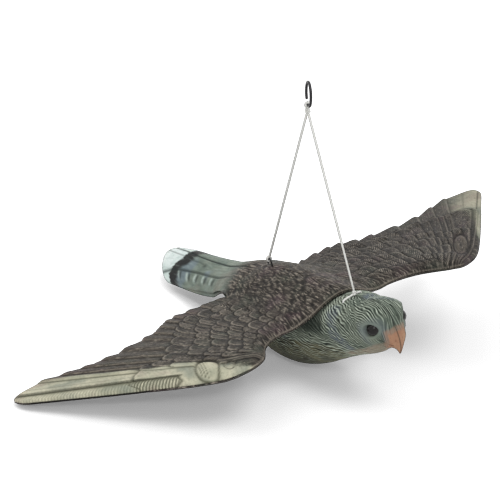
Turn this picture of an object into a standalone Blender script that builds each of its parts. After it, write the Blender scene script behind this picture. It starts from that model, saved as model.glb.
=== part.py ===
"""Hanging hawk decoy: a moulded bird of prey with spread wings on a cord bridle.

The bird is modelled in its own frame: +X to the beak, +Y to its left wing, +Z up,
with z = 0 on the parting plane of the wings. It hangs nose up from an open wire
ring, and the world's origin is the point of the ring that rests on what holds it.
"""
import bpy
import bmesh
from math import atan2, ceil, cos, pi, radians, sin, sqrt, tau
from mathutils import Matrix, Vector

# Bird, overall
half_span = 0.285
wrist_forward = 0.158
tail_root_x = 0.002
tail_tip_x = -0.176
collar_x = 0.128
beak_reach = 0.204
hang_pitch = radians(22.44)

# Moulded panel of wings, back and tail
panel_wall = 0.0015
parting_gap = 0.0003
back_rise = 0.0225
back_half_width_front = 0.056
back_half_width_rear = 0.070
shoulder_lift = 0.0050
shoulder_from_x = 0.080
shoulder_from_y = 0.042
shoulder_to_y = 0.150
shoulder_blend = 0.040
wing_crown = 0.0060
wing_belly = 0.0035
back_crown = 0.0020
wingtip_rise = 0.0030
feather_step = 0.0013
covert_step = 0.0012
primary_scallop = 0.0032
secondary_scallop = 0.0028
tip_feather_scallop = 0.0095
wing_edge_bow = 0.0096

# Tail
tail_root_half_width = 0.043
tail_half_width = 0.030
tail_droop = 0.022
tail_end_round = 0.033
tail_feather_step = 0.0008

# Body, neck and head
body_half_width = 0.037
body_depth = 0.066
neck_rise = 0.022
body_wall = 0.0026
seam_gap = 0.0003
seat_clearance = 0.0006
cavity_rear_share = -0.27
cavity_front_share = 0.892

# Eyes
eye_radius = 0.0060
eye_along_share = 0.9314
eye_out_share = 0.4595
eye_up_share = 0.1
eye_clearance = 0.0003

# Screw hook in the back
hook_x = 0.0225
hook_wire_radius = 0.0009
hook_curl_radius = 0.0031
hook_stand = 0.0049
hook_shank_depth = 0.019
hook_hole_clearance = 0.0003

# Cord bridle and ring
cord_radius = 0.0009
cord_clearance = 0.0004
knot_radius = 0.0023
knot_gap = 0.0003
neck_knot_share = 0.7353
neck_knot_rest = 0.0008
neck_hole_share = 0.7279
neck_hole_left_y = 0.0080
neck_hole_right_y = -0.0125
neck_hole_radius = 0.0015
neck_cord_slope = 0.45
ring_bottom_x = 0.1364
ring_bottom_z = 0.1996
ring_mid_radius = 0.0106
ring_wire_radius = 0.0010
ring_plane_turn = radians(-28.5)
ring_gap_angle = radians(16)
ring_gap_from_bottom = radians(-29)

# Facets and cutting
rings_round_eye = 16
cord_sides_resolution = 2
cord_point_spacing = 5.0
cut_overrun = 0.004
merge_distance = 0.00001

# Wing feather lines: where each starts on the leading edge, from the wrist inwards,
# as shares of wrist_forward and half_span
leading_shares = [
    (0.994, 0.444), (1.000, 0.423), (0.991, 0.404), (0.972, 0.386), (0.943, 0.372),
    (0.908, 0.358), (0.867, 0.342), (0.829, 0.323), (0.797, 0.296), (0.772, 0.267),
    (0.750, 0.233), (0.744, 0.196), (0.753, 0.154),
]
# and where each ends on the trailing edge, from the wing tip inwards
trailing_shares = [
    (0.165, 0.977), (0.095, 1.002), (-0.032, 0.898), (-0.006, 0.811), (0.038, 0.716),
    (0.041, 0.616), (0.000, 0.511), (-0.022, 0.446), (-0.092, 0.396), (-0.117, 0.351),
    (-0.114, 0.291), (-0.089, 0.211),
]
# Lines of the back and tail feathers, as shares of the half width from edge to midline
back_line_shares = [0.0, 0.33, 0.77, 1.0]
primary_feathers = 6

# Columns inside one feather: place across it, scallop and raised edge
feather_column_shares = [(0.0, 0.0, 0.0), (0.2, 1.0, 1.0), (0.6, 0.75, 0.5)]
# Rows from the leading to the trailing edge: place, crown, large and small covert rise,
# feather relief, and how far the row follows the scallops of the covert tips
wing_row_shares = [
    (0.00, 0.00, 0.0, 0.0, 0.0, 0.00), (0.04, 0.55, 0.0, 0.0, 0.0, 0.00),
    (0.12, 0.90, 0.0, 0.2, 0.0, 0.00), (0.30, 1.00, 0.2, 1.0, 0.2, 0.05),
    (0.345, 0.97, 0.3, 0.0, 0.3, 0.05), (0.45, 0.87, 0.7, 0.0, 0.5, 0.00),
    (0.57, 0.70, 1.0, 0.0, 0.6, 0.05), (0.615, 0.62, 0.0, 0.0, 0.7, 0.05),
    (0.78, 0.38, 0.0, 0.0, 0.9, 0.00), (0.93, 0.10, 0.0, 0.0, 1.0, 0.00),
    (1.00, 0.00, 0.0, 0.0, 1.0, 0.00),
]
# Bow of the outer leading edge from wrist to tip
edge_bow_shares = [
    (0.0, 0.0), (0.12, 0.8), (0.2, 1.0), (0.35, 0.92), (0.51, 0.73), (0.7, 0.46), (0.87, 0.18), (1.0, 0.0),
]
edge_bow_feathers = 6
edge_crown_feathers = 1.6

# Crest of the back and of the tail, as shares of back_rise along each
back_crest_shares = [(0.0, 0.87), (0.07, 0.93), (0.16, 0.98), (0.5, 1.0), (1.0, 0.82)]
tail_crest_shares = [
    (0.0, 0.87), (0.12, 0.70), (0.29, 0.55), (0.46, 0.49), (0.62, 0.47), (0.82, 0.49), (1.0, 0.45),
]
tail_width_shares = [(0.0, 1.0), (0.12, 0.65), (0.29, 0.22), (0.46, 0.03), (0.64, -0.04), (1.0, -0.08)]
tail_droop_shares = [(0.0, 0.6), (0.12, 0.72), (0.29, 0.88), (0.46, 1.0), (0.64, 1.0), (1.0, 0.95)]
tail_row_shares = [0.0, 0.10, 0.22, 0.36, 0.52, 0.68, 0.82, 0.93, 1.0]
tail_relief_from_share = 0.12
tail_relief_full_share = 0.35

# Body sections under the panel: place along beak_reach, half width, underside, widest level
hull_shares = [
    (-0.373, 0.108, 0.015, 0.061), (-0.324, 0.351, -0.136, 0.030), (-0.221, 0.595, -0.409, -0.045),
    (-0.098, 0.784, -0.652, -0.091), (0.025, 0.905, -0.833, -0.121), (0.147, 0.973, -0.970, -0.152),
    (0.270, 1.000, -1.000, -0.182), (0.392, 0.986, -0.947, -0.182), (0.505, 0.919, -0.841, -0.167),
    (0.588, 0.838, -0.735, -0.136), (0.626, 0.800, -0.690, -0.121),
]
# Neck and head: place, half width, crest as a share of neck_rise, underside, widest level
head_shares = [
    (0.667, 0.757, 0.820, -0.636, -0.106), (0.701, 0.730, 0.875, -0.598, -0.091),
    (0.740, 0.703, 0.900, -0.553, -0.091), (0.784, 0.676, 0.915, -0.508, -0.076),
    (0.824, 0.662, 0.935, -0.470, -0.061), (0.863, 0.649, 0.960, -0.432, -0.045),
    (0.902, 0.608, 0.932, -0.386, -0.030), (0.931, 0.554, 0.795, -0.326, -0.015),
    (0.951, 0.473, 0.636, -0.273, -0.030),
]
# Hooked beak: as the head, with a keel-shaped underside
beak_shares = [
    (0.968, 0.350, 0.409, -0.303, -0.061), (0.979, 0.250, 0.159, -0.371, -0.106),
    (0.986, 0.180, -0.068, -0.405, -0.136), (0.991, 0.125, -0.273, -0.333, -0.182),
    (0.995, 0.075, -0.455, -0.258, -0.205),
]
section_points = 24
crown_roundness = 2.8
hull_roundness = 2.2
beak_roundness = 1.25

feather_brown = (0.115, 0.100, 0.092, 1.0)
underside_brown = (0.085, 0.075, 0.070, 1.0)
head_green = (0.155, 0.215, 0.185, 1.0)
eye_black = (0.008, 0.008, 0.008, 1.0)
wire_black = (0.015, 0.015, 0.016, 1.0)
cord_white = (0.82, 0.82, 0.80, 1.0)


def smooth(share):
    """Eases a share from 0 to 1 and holds it there."""
    held = min(max(share, 0.0), 1.0)
    return held * held * (3.0 - 2.0 * held)


def read_table(table, at):
    """Reads a value between the rows of a table, through a smooth curve."""
    if at <= table[0][0]:
        return table[0][1]
    for index in range(len(table) - 1):
        here, after = table[index], table[index + 1]
        if at <= after[0]:
            before = table[max(index - 1, 0)]
            beyond = table[min(index + 2, len(table) - 1)]
            width = after[0] - here[0]
            slope_here = (after[1] - before[1]) / (after[0] - before[0])
            slope_after = (beyond[1] - here[1]) / (beyond[0] - here[0])
            t = (at - here[0]) / width
            return ((2 * t**3 - 3 * t**2 + 1) * here[1] + (t**3 - 2 * t**2 + t) * width * slope_here
                    + (3 * t**2 - 2 * t**3) * after[1] + (t**3 - t**2) * width * slope_after)
    return table[-1][1]


def read_line(points, at):
    """Reads a point between the points of an outline, counted from 0."""
    index = min(int(at), len(points) - 2)
    return points[index].lerp(points[index + 1], at - index)


def back_level(x, y):
    """Height of the parting surface over wings and back: flat wings, arched back."""
    along = min(max((x - tail_root_x) / (collar_x - tail_root_x), 0.0), 1.0)
    width = back_half_width_rear + (back_half_width_front - back_half_width_rear) * along
    across = min(abs(y) / width, 1.0)
    arch = back_rise * read_table(back_crest_shares, along) * cos(across * pi / 2)**2
    forward = smooth((x - shoulder_from_x) / (wrist_forward - shoulder_from_x))
    inner = smooth((abs(y) - shoulder_from_y) / shoulder_blend)
    outer = smooth((shoulder_to_y - abs(y)) / shoulder_blend)
    return arch + shoulder_lift * forward * inner * outer + wingtip_rise * (y / half_span)**4


def tail_along(x):
    """Share of the way from the tail's root to its tip."""
    return (tail_root_x - x) / (tail_root_x - tail_tip_x)


def tail_edge(along):
    """Half width of the tail, from the wide root to the narrow end."""
    return tail_half_width + (tail_root_half_width - tail_half_width) * read_table(tail_width_shares, along)


def tail_level(x, y):
    """Height of the parting surface in the tail, which droops to both sides."""
    along = tail_along(x)
    across = y / tail_edge(along)
    crest = back_rise * read_table(tail_crest_shares, along)
    drooped = crest - tail_droop * read_table(tail_droop_shares, along) * across**2
    blend = smooth(along / 0.3)
    return back_level(x, y) * (1 - blend) + drooped * blend


def panel_level(x, y):
    """Height of the parting surface anywhere over the body."""
    return back_level(x, y) if x >= tail_root_x else tail_level(x, y)


def outline_points():
    """Ends of the feather lines on the leading and on the trailing edge."""
    front = [Vector((forward_share * wrist_forward, out_share * half_span, 0))
             for forward_share, out_share in leading_shares]
    rear = [Vector((forward_share * wrist_forward, out_share * half_span, 0))
            for forward_share, out_share in trailing_shares]
    front_corner = front[-1]
    rear.append(Vector((tail_root_x, tail_root_half_width, 0)))
    for share in back_line_shares[1:]:
        front_x = front_corner.x + (collar_x - front_corner.x) * sin(share * pi / 2)
        front.append(Vector((front_x, front_corner.y * (1 - share), 0)))
        rear.append(Vector((tail_root_x, tail_root_half_width * (1 - share), 0)))
    return front, rear


def feather_columns(feathers):
    """Counts columns over the feathers: place, scallop and raised edge of each."""
    columns = [(index + across, scallop, edge, index)
               for index in range(feathers) for across, scallop, edge in feather_column_shares]
    columns.append((feathers, 0.0, 0.0, feathers))
    return columns


def wing_point(front, rear, column, row):
    """Plan position on the wing and back, with heights above and below the parting surface."""
    place, scallop, edge, feather = column
    along, crown, large_covert, small_covert, relief, follow = row
    wing_feathers = len(trailing_shares)
    start, end = read_line(front, place), read_line(rear, place)
    direction = (end - start).normalized()
    on_wing = feather < wing_feathers
    inside_share = 0.0 if on_wing else smooth(place - wing_feathers)
    if feather == 1:
        reach = tip_feather_scallop
    elif feather < primary_feathers:
        reach = primary_scallop
    else:
        reach = secondary_scallop if on_wing else 0.0
    share = along + follow * scallop
    point = start.lerp(end, share)
    bow_share = max(1.0 - place / edge_bow_feathers, 0.0) * read_table(edge_bow_shares, share)
    bow = wing_edge_bow * bow_share
    point += Vector((-direction.y, direction.x, 0)) * -bow
    point += direction * reach * scallop * smooth((along - 0.6) / 0.4)
    edge_fade = smooth(place / edge_crown_feathers)
    front_fade = crown if along < 0.5 else 1.0
    wing_share = 1.0 - inside_share
    height = (wing_crown * crown * wing_share + back_crown * inside_share * front_fade) * edge_fade
    belly = wing_belly * crown * edge_fade * (1.0 - smooth((place - wing_feathers + 3) / 3.0))
    coverts = covert_step * (large_covert + small_covert) * edge_fade * wing_share
    ridges = feather_step * relief * edge if on_wing else 0.0
    return point, height, coverts + ridges, belly


def tail_point(column, row_share):
    """Plan position on the tail, with heights above the parting surface."""
    place, scallop, edge, feather = column
    index = min(int(place), len(back_line_shares) - 2)
    edge_share, inner_share = back_line_shares[index], back_line_shares[index + 1]
    across_share = 1.0 - edge_share - (inner_share - edge_share) * (place - index)
    end_x = tail_tip_x + tail_end_round * (1.0 - sqrt(1.0 - min(across_share, 0.995)**2))
    x = tail_root_x + (end_x - tail_root_x) * row_share
    y = tail_edge(tail_along(x)) * across_share
    side_fade = smooth(place)
    end_fade = 1.0 - smooth((row_share - 0.75) / 0.25)
    height = back_crown * side_fade * end_fade
    relief_share = (row_share - tail_relief_from_share) / (tail_relief_full_share - tail_relief_from_share)
    return Vector((x, y, 0)), height, tail_feather_step * edge * smooth(relief_share), 0.0


def add_grid(bm, columns, rows):
    """Adds a flat grid and gives back its vertices by column and row."""
    made = bmesh.ops.create_grid(bm, x_segments=columns - 1, y_segments=rows - 1, size=1.0)
    grid = {}
    for vert in made["verts"]:
        column = round((vert.co.x + 1.0) / 2.0 * (columns - 1))
        row = round((vert.co.y + 1.0) / 2.0 * (rows - 1))
        grid[column, row] = vert
    return grid


def panel_shell(name, upper):
    """One moulding of the panel: relief outside, smooth inside, rim on the parting surface."""
    bm = bmesh.new()
    depth = bm.verts.layers.float.new("depth")
    side = 1.0 if upper else -1.0
    front, rear = outline_points()
    columns = feather_columns(len(front) - 1)
    grid = add_grid(bm, len(columns), len(wing_row_shares))
    for (i, j), vert in grid.items():
        point, height, relief, belly = wing_point(front, rear, columns[i], wing_row_shares[j])
        thickness = parting_gap / 2 + panel_wall + (height + relief if upper else belly)
        vert.co = (point.x, point.y, back_level(point.x, point.y) + side * thickness)
        vert[depth] = side * (panel_wall + (relief if upper else 0.0))
    tail_columns = feather_columns(len(back_line_shares) - 1)
    tail_grid = add_grid(bm, len(tail_columns), len(tail_row_shares))
    for (i, j), vert in tail_grid.items():
        point, height, relief, belly = tail_point(tail_columns[i], tail_row_shares[j])
        thickness = parting_gap / 2 + panel_wall + (height + relief if upper else belly)
        vert.co = (point.x, point.y, tail_level(point.x, point.y) + side * thickness)
        vert[depth] = side * (panel_wall + (relief if upper else 0.0))
    bmesh.ops.remove_doubles(bm, verts=bm.verts, dist=merge_distance)
    bmesh.ops.mirror(bm, geom=bm.verts[:] + bm.edges[:] + bm.faces[:], axis="Y", merge_dist=merge_distance)
    doubled = bmesh.ops.extrude_face_region(bm, geom=bm.faces[:], use_keep_orig=True)
    for vert in doubled["geom"]:
        if isinstance(vert, bmesh.types.BMVert):
            vert.co.z -= vert[depth]
    bmesh.ops.recalc_face_normals(bm, faces=bm.faces)
    return mesh_object(name, bm)


def mesh_object(name, bm):
    """Makes an object from a bmesh in the collection of the decoy."""
    mesh = bpy.data.meshes.new(name)
    bm.to_mesh(mesh)
    bm.free()
    made = bpy.data.objects.new(name, mesh)
    decoy.objects.link(made)
    return made


def section_ring(half_width, crest, underside, widest, top_roundness, bottom_roundness):
    """Points of one cross-section, as (y, z), from the top round the left side."""
    ring = []
    for index in range(section_points):
        angle = pi / 2 - tau * index / section_points
        roundness = top_roundness if sin(angle) >= 0 else bottom_roundness
        reach = crest - widest if sin(angle) >= 0 else widest - underside
        y = half_width * abs(cos(angle))**(2 / roundness)
        z = reach * abs(sin(angle))**(2 / roundness)
        ring.append((y if cos(angle) >= 0 else -y, widest + (z if sin(angle) >= 0 else -z)))
    return ring


def body_sections(inset):
    """Cross-sections of the body and head, drawn in by an inset for the hollow inside."""
    sections = []
    for share, width, underside, widest in hull_shares:
        x = share * beak_reach
        seat = panel_level(x, 0) - parting_gap / 2 - panel_wall - seat_clearance
        ring = section_ring(width * body_half_width - inset, seat - inset, underside * body_depth + inset,
                            widest * body_depth, crown_roundness, hull_roundness)
        seated = []
        for y, z in ring:
            ceiling = panel_level(x, y) - parting_gap / 2 - panel_wall - seat_clearance - inset
            seated.append((y, min(z, ceiling)))
        sections.append((x, seated))
    for table, bottom_roundness in ((head_shares, hull_roundness), (beak_shares, beak_roundness)):
        for share, width, crest, underside, widest in table:
            ring = section_ring(width * body_half_width - inset, crest * neck_rise - inset,
                                underside * body_depth + inset, widest * body_depth,
                                crown_roundness, bottom_roundness)
            sections.append((share * beak_reach, ring))
    return sections


def loft(name, sections):
    """Skins cross-sections, each a list of (y, z) at its x, and closes both ends."""
    bm = bmesh.new()
    rings = [[bm.verts.new((x, y, z)) for y, z in ring] for x, ring in sections]
    for here, after in zip(rings, rings[1:]):
        for index in range(len(here)):
            following = (index + 1) % len(here)
            bm.faces.new((here[index], here[following], after[following], after[index]))
    bm.faces.new(rings[0])
    bm.faces.new(rings[-1])
    bmesh.ops.triangulate(bm, faces=bm.faces)
    bmesh.ops.recalc_face_normals(bm, faces=bm.faces)
    return mesh_object(name, bm)


def keep_half(body, side):
    """Cuts a body at the mould seam and keeps its left (1) or right (-1) half."""
    bm = bmesh.new()
    bm.from_mesh(body.data)
    sliced = bmesh.ops.bisect_plane(bm, geom=bm.verts[:] + bm.edges[:] + bm.faces[:], clear_outer=True,
                                    plane_co=(0, side * seam_gap / 2, 0), plane_no=(0, -side, 0))
    edges = [item for item in sliced["geom_cut"] if isinstance(item, bmesh.types.BMEdge)]
    bmesh.ops.contextual_create(bm, geom=edges)
    bmesh.ops.recalc_face_normals(bm, faces=bm.faces)
    bm.to_mesh(body.data)
    bm.free()


def as_cutter(cutter):
    """Moves an object to the cutters and hides it from the render."""
    for owner in list(cutter.users_collection):
        owner.objects.unlink(cutter)
    cutters.objects.link(cutter)
    cutter.hide_render = True
    cutter.display_type = "WIRE"
    return cutter


def add_rod(name, radius, bottom, top, sides=16):
    """A plain rod between two points."""
    axis = top - bottom
    bpy.ops.mesh.primitive_cylinder_add(vertices=sides, radius=radius, depth=axis.length)
    rod = bpy.context.active_object
    rod.name = name
    rod.data.transform(axis.to_track_quat("Z", "Y").to_matrix().to_4x4())
    rod.data.transform(Matrix.Translation((bottom + top) / 2))
    return rod


def cut(target, cutter):
    """Cuts one shape out of another."""
    modifier = target.modifiers.new("cut", "BOOLEAN")
    modifier.operation = "DIFFERENCE"
    modifier.object = cutter


def add_ball(name, radius, centre, sides):
    """A round bead or knot."""
    bm = bmesh.new()
    bmesh.ops.create_uvsphere(bm, u_segments=sides, v_segments=sides // 2, radius=radius)
    bmesh.ops.translate(bm, verts=bm.verts, vec=centre)
    return mesh_object(name, bm)


def add_wire(name, points, radius, closed=False, resolution=cord_sides_resolution):
    """A wire or cord along a list of points."""
    curve = bpy.data.curves.new(name, "CURVE")
    curve.dimensions = "3D"
    curve.bevel_depth = radius
    curve.bevel_resolution = resolution
    curve.use_fill_caps = True
    spline = curve.splines.new("POLY")
    spline.points.add(len(points) - 1)
    for target, point in zip(spline.points, points):
        target.co = (*point, 1.0)
    spline.use_cyclic_u = closed
    made = bpy.data.objects.new(name, curve)
    decoy.objects.link(made)
    if not closed:
        weld = made.modifiers.new("join_caps", "WELD")
        weld.merge_threshold = merge_distance
    return made


def arc_points(centre, radius, start, end, count, across, up):
    """Points along an arc in the plane of two directions."""
    step = (end - start) / (count - 1)
    return [centre + across * (radius * cos(start + step * i)) + up * (radius * sin(start + step * i))
            for i in range(count)]


def smooth_route(points, spacing):
    """Points along a smooth curve through a route, about evenly apart."""
    route = []
    last = len(points) - 1
    for index in range(last):
        here, after = points[index], points[index + 1]
        before, beyond = points[max(index - 1, 0)], points[min(index + 2, last)]
        leave, arrive = (after - before) / 2, (beyond - here) / 2
        steps = max(ceil((after - here).length / spacing), 1)
        for step in range(steps):
            t = step / steps
            route.append(here * (2 * t**3 - 3 * t**2 + 1) + leave * (t**3 - 2 * t**2 + t)
                         + after * (3 * t**2 - 2 * t**3) + arrive * (t**3 - t**2))
    route.append(points[-1])
    return route


def paint(target, name, colour, roughness, metallic=0.0):
    """Gives a piece its own material."""
    material = bpy.data.materials.new(name)
    material.use_nodes = True
    shader = material.node_tree.nodes["Principled BSDF"]
    shader.inputs["Base Color"].default_value = colour
    shader.inputs["Roughness"].default_value = roughness
    shader.inputs["Metallic"].default_value = metallic
    target.data.materials.append(material)


def round_off(target, limit=radians(40)):
    """Shades a piece smooth, with its sharp edges kept."""
    target.data.shade_smooth()
    if target.type == "MESH":
        target.data.set_sharp_from_angle(angle=limit)


def eye_centre(side):
    """Centre of an eye in the left (1) or right (-1) side of the head."""
    return Vector((eye_along_share * beak_reach, side * eye_out_share * body_half_width,
                   eye_up_share * neck_rise))


def hook_curl_level():
    """Height of the centre of the hook's curl over the back."""
    return panel_level(hook_x, 0) + parting_gap / 2 + panel_wall + back_crown + hook_stand


def hook_top():
    """Centre of the wire at the top of the hook's curl, where the cord hangs on."""
    return Vector((hook_x - hook_curl_radius, 0, hook_curl_level() + hook_curl_radius))


def neck_surface(y):
    """Height of the neck at the cord holes, off the midline."""
    share, width, crest, underside, widest = head_shares[2]
    across = min(abs(y) / (width * body_half_width), 1.0)
    level = widest * body_depth
    return level + (crest * neck_rise - level) * (1.0 - across**crown_roundness)**(1.0 / crown_roundness)


def neck_knot_centre():
    """Centre of the knot that rests on the neck."""
    return Vector((neck_knot_share * beak_reach, 0, neck_surface(0) + knot_radius + neck_knot_rest))


def roll_direction():
    """Line through the hook's top and the neck knot, about which the bird rolls."""
    return (neck_knot_centre() - hook_top()).normalized()


def bird_to_world():
    """Places the bird: nose up, with the ring's top bearing point at the origin."""
    turned = Matrix.Rotation(-hang_pitch, 4, "Y")
    ring_bottom = turned @ Vector((ring_bottom_x, 0, ring_bottom_z))
    bottom_in_world = Vector((0, 0, ring_wire_radius - ring_mid_radius - ring_mid_radius))
    return Matrix.Translation(bottom_in_world - ring_bottom) @ turned


def add_empty(name, matrix):
    """An empty that carries a moving body, on the axis of its joint."""
    made = bpy.data.objects.new(name, None)
    made.empty_display_size = knot_radius
    decoy.objects.link(made)
    made.matrix_world = matrix
    return made


def carry(carrier, pieces, placed):
    """Parents pieces, modelled in the frame of a matrix, to the empty of their body."""
    for piece in pieces:
        piece.parent = carrier
        piece.matrix_parent_inverse = carrier.matrix_world.inverted() @ placed


def build_panel():
    """Upper and lower moulding of wings, back and tail, drilled for the hook."""
    upper = panel_shell("upper_shell", True)
    lower = panel_shell("lower_shell", False)
    hole = as_cutter(add_rod("hook_hole", hook_wire_radius + hook_hole_clearance,
                             Vector((hook_x, 0, hook_curl_level() - hook_shank_depth - cut_overrun)),
                             Vector((hook_x, 0, hook_curl_level()))))
    for shell, colour in ((upper, feather_brown), (lower, underside_brown)):
        cut(shell, hole)
        paint(shell, shell.name + "_paint", colour, 0.55)
        round_off(shell)
    return [upper, lower, hole], hole


def build_body(hook_hole):
    """Two hollow halves of body, neck and head, with eye sockets and cord holes."""
    inside = [(x, ring) for x, ring in body_sections(body_wall)
              if cavity_rear_share * beak_reach < x < cavity_front_share * beak_reach]
    cavity = as_cutter(loft("cavity", inside))
    hole_x = neck_hole_share * beak_reach
    halves, cutting = [], [cavity]
    for side, word, hole_y in ((-1, "right", neck_hole_right_y), (1, "left", neck_hole_left_y)):
        half = loft("body_shell_" + word, body_sections(0.0))
        keep_half(half, side)
        socket = as_cutter(add_ball("socket_" + word, eye_radius + eye_clearance, eye_centre(side),
                                    rings_round_eye * 2))
        hole = as_cutter(add_rod("neck_hole_" + word, neck_hole_radius,
                                 Vector((hole_x, hole_y, neck_surface(hole_y) - body_wall * 2)),
                                 Vector((hole_x, hole_y, neck_surface(hole_y) + cut_overrun))))
        for tool in (cavity, hook_hole, socket, hole):
            cut(half, tool)
        paint(half, half.name + "_paint", head_green, 0.6)
        round_off(half)
        halves.append(half)
        cutting += [socket, hole]
    return halves, cutting


def build_eyes():
    """Glossy beads seated in the sockets."""
    eyes = []
    for side, word in ((-1, "right"), (1, "left")):
        eye = add_ball("eye_" + word, eye_radius, eye_centre(side), rings_round_eye)
        paint(eye, eye.name + "_gloss", eye_black, 0.08)
        round_off(eye)
        eyes.append(eye)
    return eyes


def build_hook():
    """Screw hook: straight shank, then a curl that opens to the rear."""
    across, up = Vector((1, 0, 0)), Vector((0, 0, 1))
    level = hook_curl_level()
    centre = Vector((hook_x - hook_curl_radius, 0, level))
    shank = [Vector((hook_x, 0, level - hook_shank_depth)),
             Vector((hook_x, 0, level - hook_curl_radius))]
    curl = arc_points(centre, hook_curl_radius, 0.0, radians(225), 14, across, up)
    hook = add_wire("tail_hook", shank + curl, hook_wire_radius)
    paint(hook, "tail_hook_black", wire_black, 0.35, 0.6)
    return hook


def build_neck_cord():
    """Cord through the two holes of the neck, and the knot above it."""
    knot = neck_knot_centre()
    reach = knot_radius + knot_gap
    hole_x = neck_hole_share * beak_reach
    sides = []
    for hole_y in (neck_hole_left_y, neck_hole_right_y):
        hole = Vector((hole_x, hole_y, neck_surface(hole_y)))
        leave = Vector(((hole.x - knot.x) * 0.5, hole_y, 0)).normalized()
        leave.z = -neck_cord_slope
        leave.normalize()
        out = knot + leave * reach
        over = hole + Vector((0, 0, cord_radius))
        under = hole - Vector((0, 0, body_wall + cord_radius * 2))
        bend = Vector((hole_x, hole_y * 0.6, under.z - cord_radius * 2))
        sides.append([out, out.lerp(over, 0.5) + Vector((0, 0, cord_radius * 0.4)), over, under, bend])
    route = sides[0] + list(reversed(sides[1]))
    loop = add_wire("neck_loop", smooth_route(route, cord_radius * 2), cord_radius)
    paint(loop, "neck_loop_white", cord_white, 0.7)
    tie = add_ball("neck_knot", knot_radius, knot, 12)
    paint(tie, "neck_knot_white", cord_white, 0.7)
    round_off(tie)
    return [loop, tie]


def straight_cord(name, low, high):
    """A taut stretch of cord, with a point every few diameters."""
    steps = ceil((high - low).length / (cord_radius * cord_point_spacing))
    return add_wire(name, [low.lerp(high, step / steps) for step in range(steps + 1)], cord_radius)


def eye_of_cord(name, centre, axis, wire_radius):
    """A ring of cord round a wire."""
    side = Vector((0, 1, 0)) if abs(axis.y) < 0.5 else Vector((1, 0, 0))
    up = axis.cross(side).normalized()
    side = up.cross(axis).normalized()
    radius = wire_radius + cord_clearance + cord_radius
    points = arc_points(centre, radius, 0.0, tau * 11 / 12, 12, side, up)
    return add_wire(name, points, cord_radius, closed=True)


def build_bridle(knot_in_bird):
    """Both legs of the bridle, their knot under the ring, and the loop on the hook."""
    hook_wire = hook_top()
    axis = roll_direction()
    loop = eye_of_cord("hook_loop", hook_wire, axis, hook_wire_radius)
    loop_reach = hook_wire_radius + cord_clearance + cord_radius * 2 + knot_gap
    rear_way = (knot_in_bird - hook_wire).normalized()
    front_way = (knot_in_bird - neck_knot_centre()).normalized()
    knot_reach = knot_radius + knot_gap
    rear = straight_cord("cord_rear_leg", hook_wire + rear_way * (loop_reach + cord_radius / 2),
                         knot_in_bird - rear_way * (knot_reach + cord_radius / 4))
    front = straight_cord("cord_front_leg", neck_knot_centre() + front_way * (knot_reach + cord_radius / 4),
                          knot_in_bird - front_way * (knot_reach + cord_radius / 4))
    knot = add_ball("bridle_knot", knot_radius, knot_in_bird, 12)
    round_off(knot)
    pieces = [loop, rear, front, knot]
    for piece in pieces:
        paint(piece, piece.name + "_white", cord_white, 0.7)
    return pieces


def build_ring(centre, tangent):
    """Open wire ring, in world coordinates, and the cord loop round its lowest point."""
    up = Vector((0, 0, 1))
    start = ring_gap_from_bottom + ring_gap_angle / 2 - pi / 2
    end = start + tau - ring_gap_angle
    points = arc_points(centre, ring_mid_radius, start, end, 34, tangent, up)
    ring = add_wire("hanging_ring", points, ring_wire_radius)
    paint(ring, "hanging_ring_black", wire_black, 0.35, 0.6)
    bottom = centre - up * ring_mid_radius
    loop = eye_of_cord("ring_loop", bottom, tangent, ring_wire_radius)
    paint(loop, "ring_loop_white", cord_white, 0.7)
    return ring, loop, bottom


for old in list(bpy.data.objects):
    bpy.data.objects.remove(old, do_unlink=True)
decoy = bpy.data.collections.new("hawk_decoy")
cutters = bpy.data.collections.new("cutters")
bpy.context.scene.collection.children.link(decoy)
bpy.context.scene.collection.children.link(cutters)

placed_bird = bird_to_world()
ring_centre = Vector((0, 0, ring_wire_radius - ring_mid_radius))
ring_tangent = Vector((cos(ring_plane_turn), sin(ring_plane_turn), 0))
ring, ring_loop, ring_bottom = build_ring(ring_centre, ring_tangent)
knot_drop = ring_wire_radius + cord_clearance + cord_radius * 2 + knot_gap + knot_radius
knot_world = ring_bottom - Vector((0, 0, knot_drop))

panel_parts, hook_hole = build_panel()
body_parts, body_cutters = build_body(hook_hole)
bird_parts = panel_parts + body_parts + body_cutters + build_eyes() + [build_hook()] + build_neck_cord()
bridle_parts = build_bridle(placed_bird.inverted() @ knot_world)

bpy.context.view_layer.update()
ring_carrier = add_empty("ring_centre", Matrix.Translation(ring_centre))
bridle_carrier = add_empty("bridle_pivot", Matrix.Translation(ring_bottom))
bird_carrier = add_empty("roll_pivot", placed_bird @ Matrix.Translation(hook_top()))
bpy.context.view_layer.update()
carry(ring_carrier, [ring_loop], Matrix())
carry(bridle_carrier, bridle_parts, placed_bird)
carry(bird_carrier, bird_parts, placed_bird)
bpy.context.view_layer.update()
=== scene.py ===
"""Looks of the hanging hawk decoy: a moulded bird of prey on a cord bridle."""
import bmesh
import bpy
from math import cos, exp, pi, radians, sin, sqrt, tau
from mathutils import Matrix, Vector, noise


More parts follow.
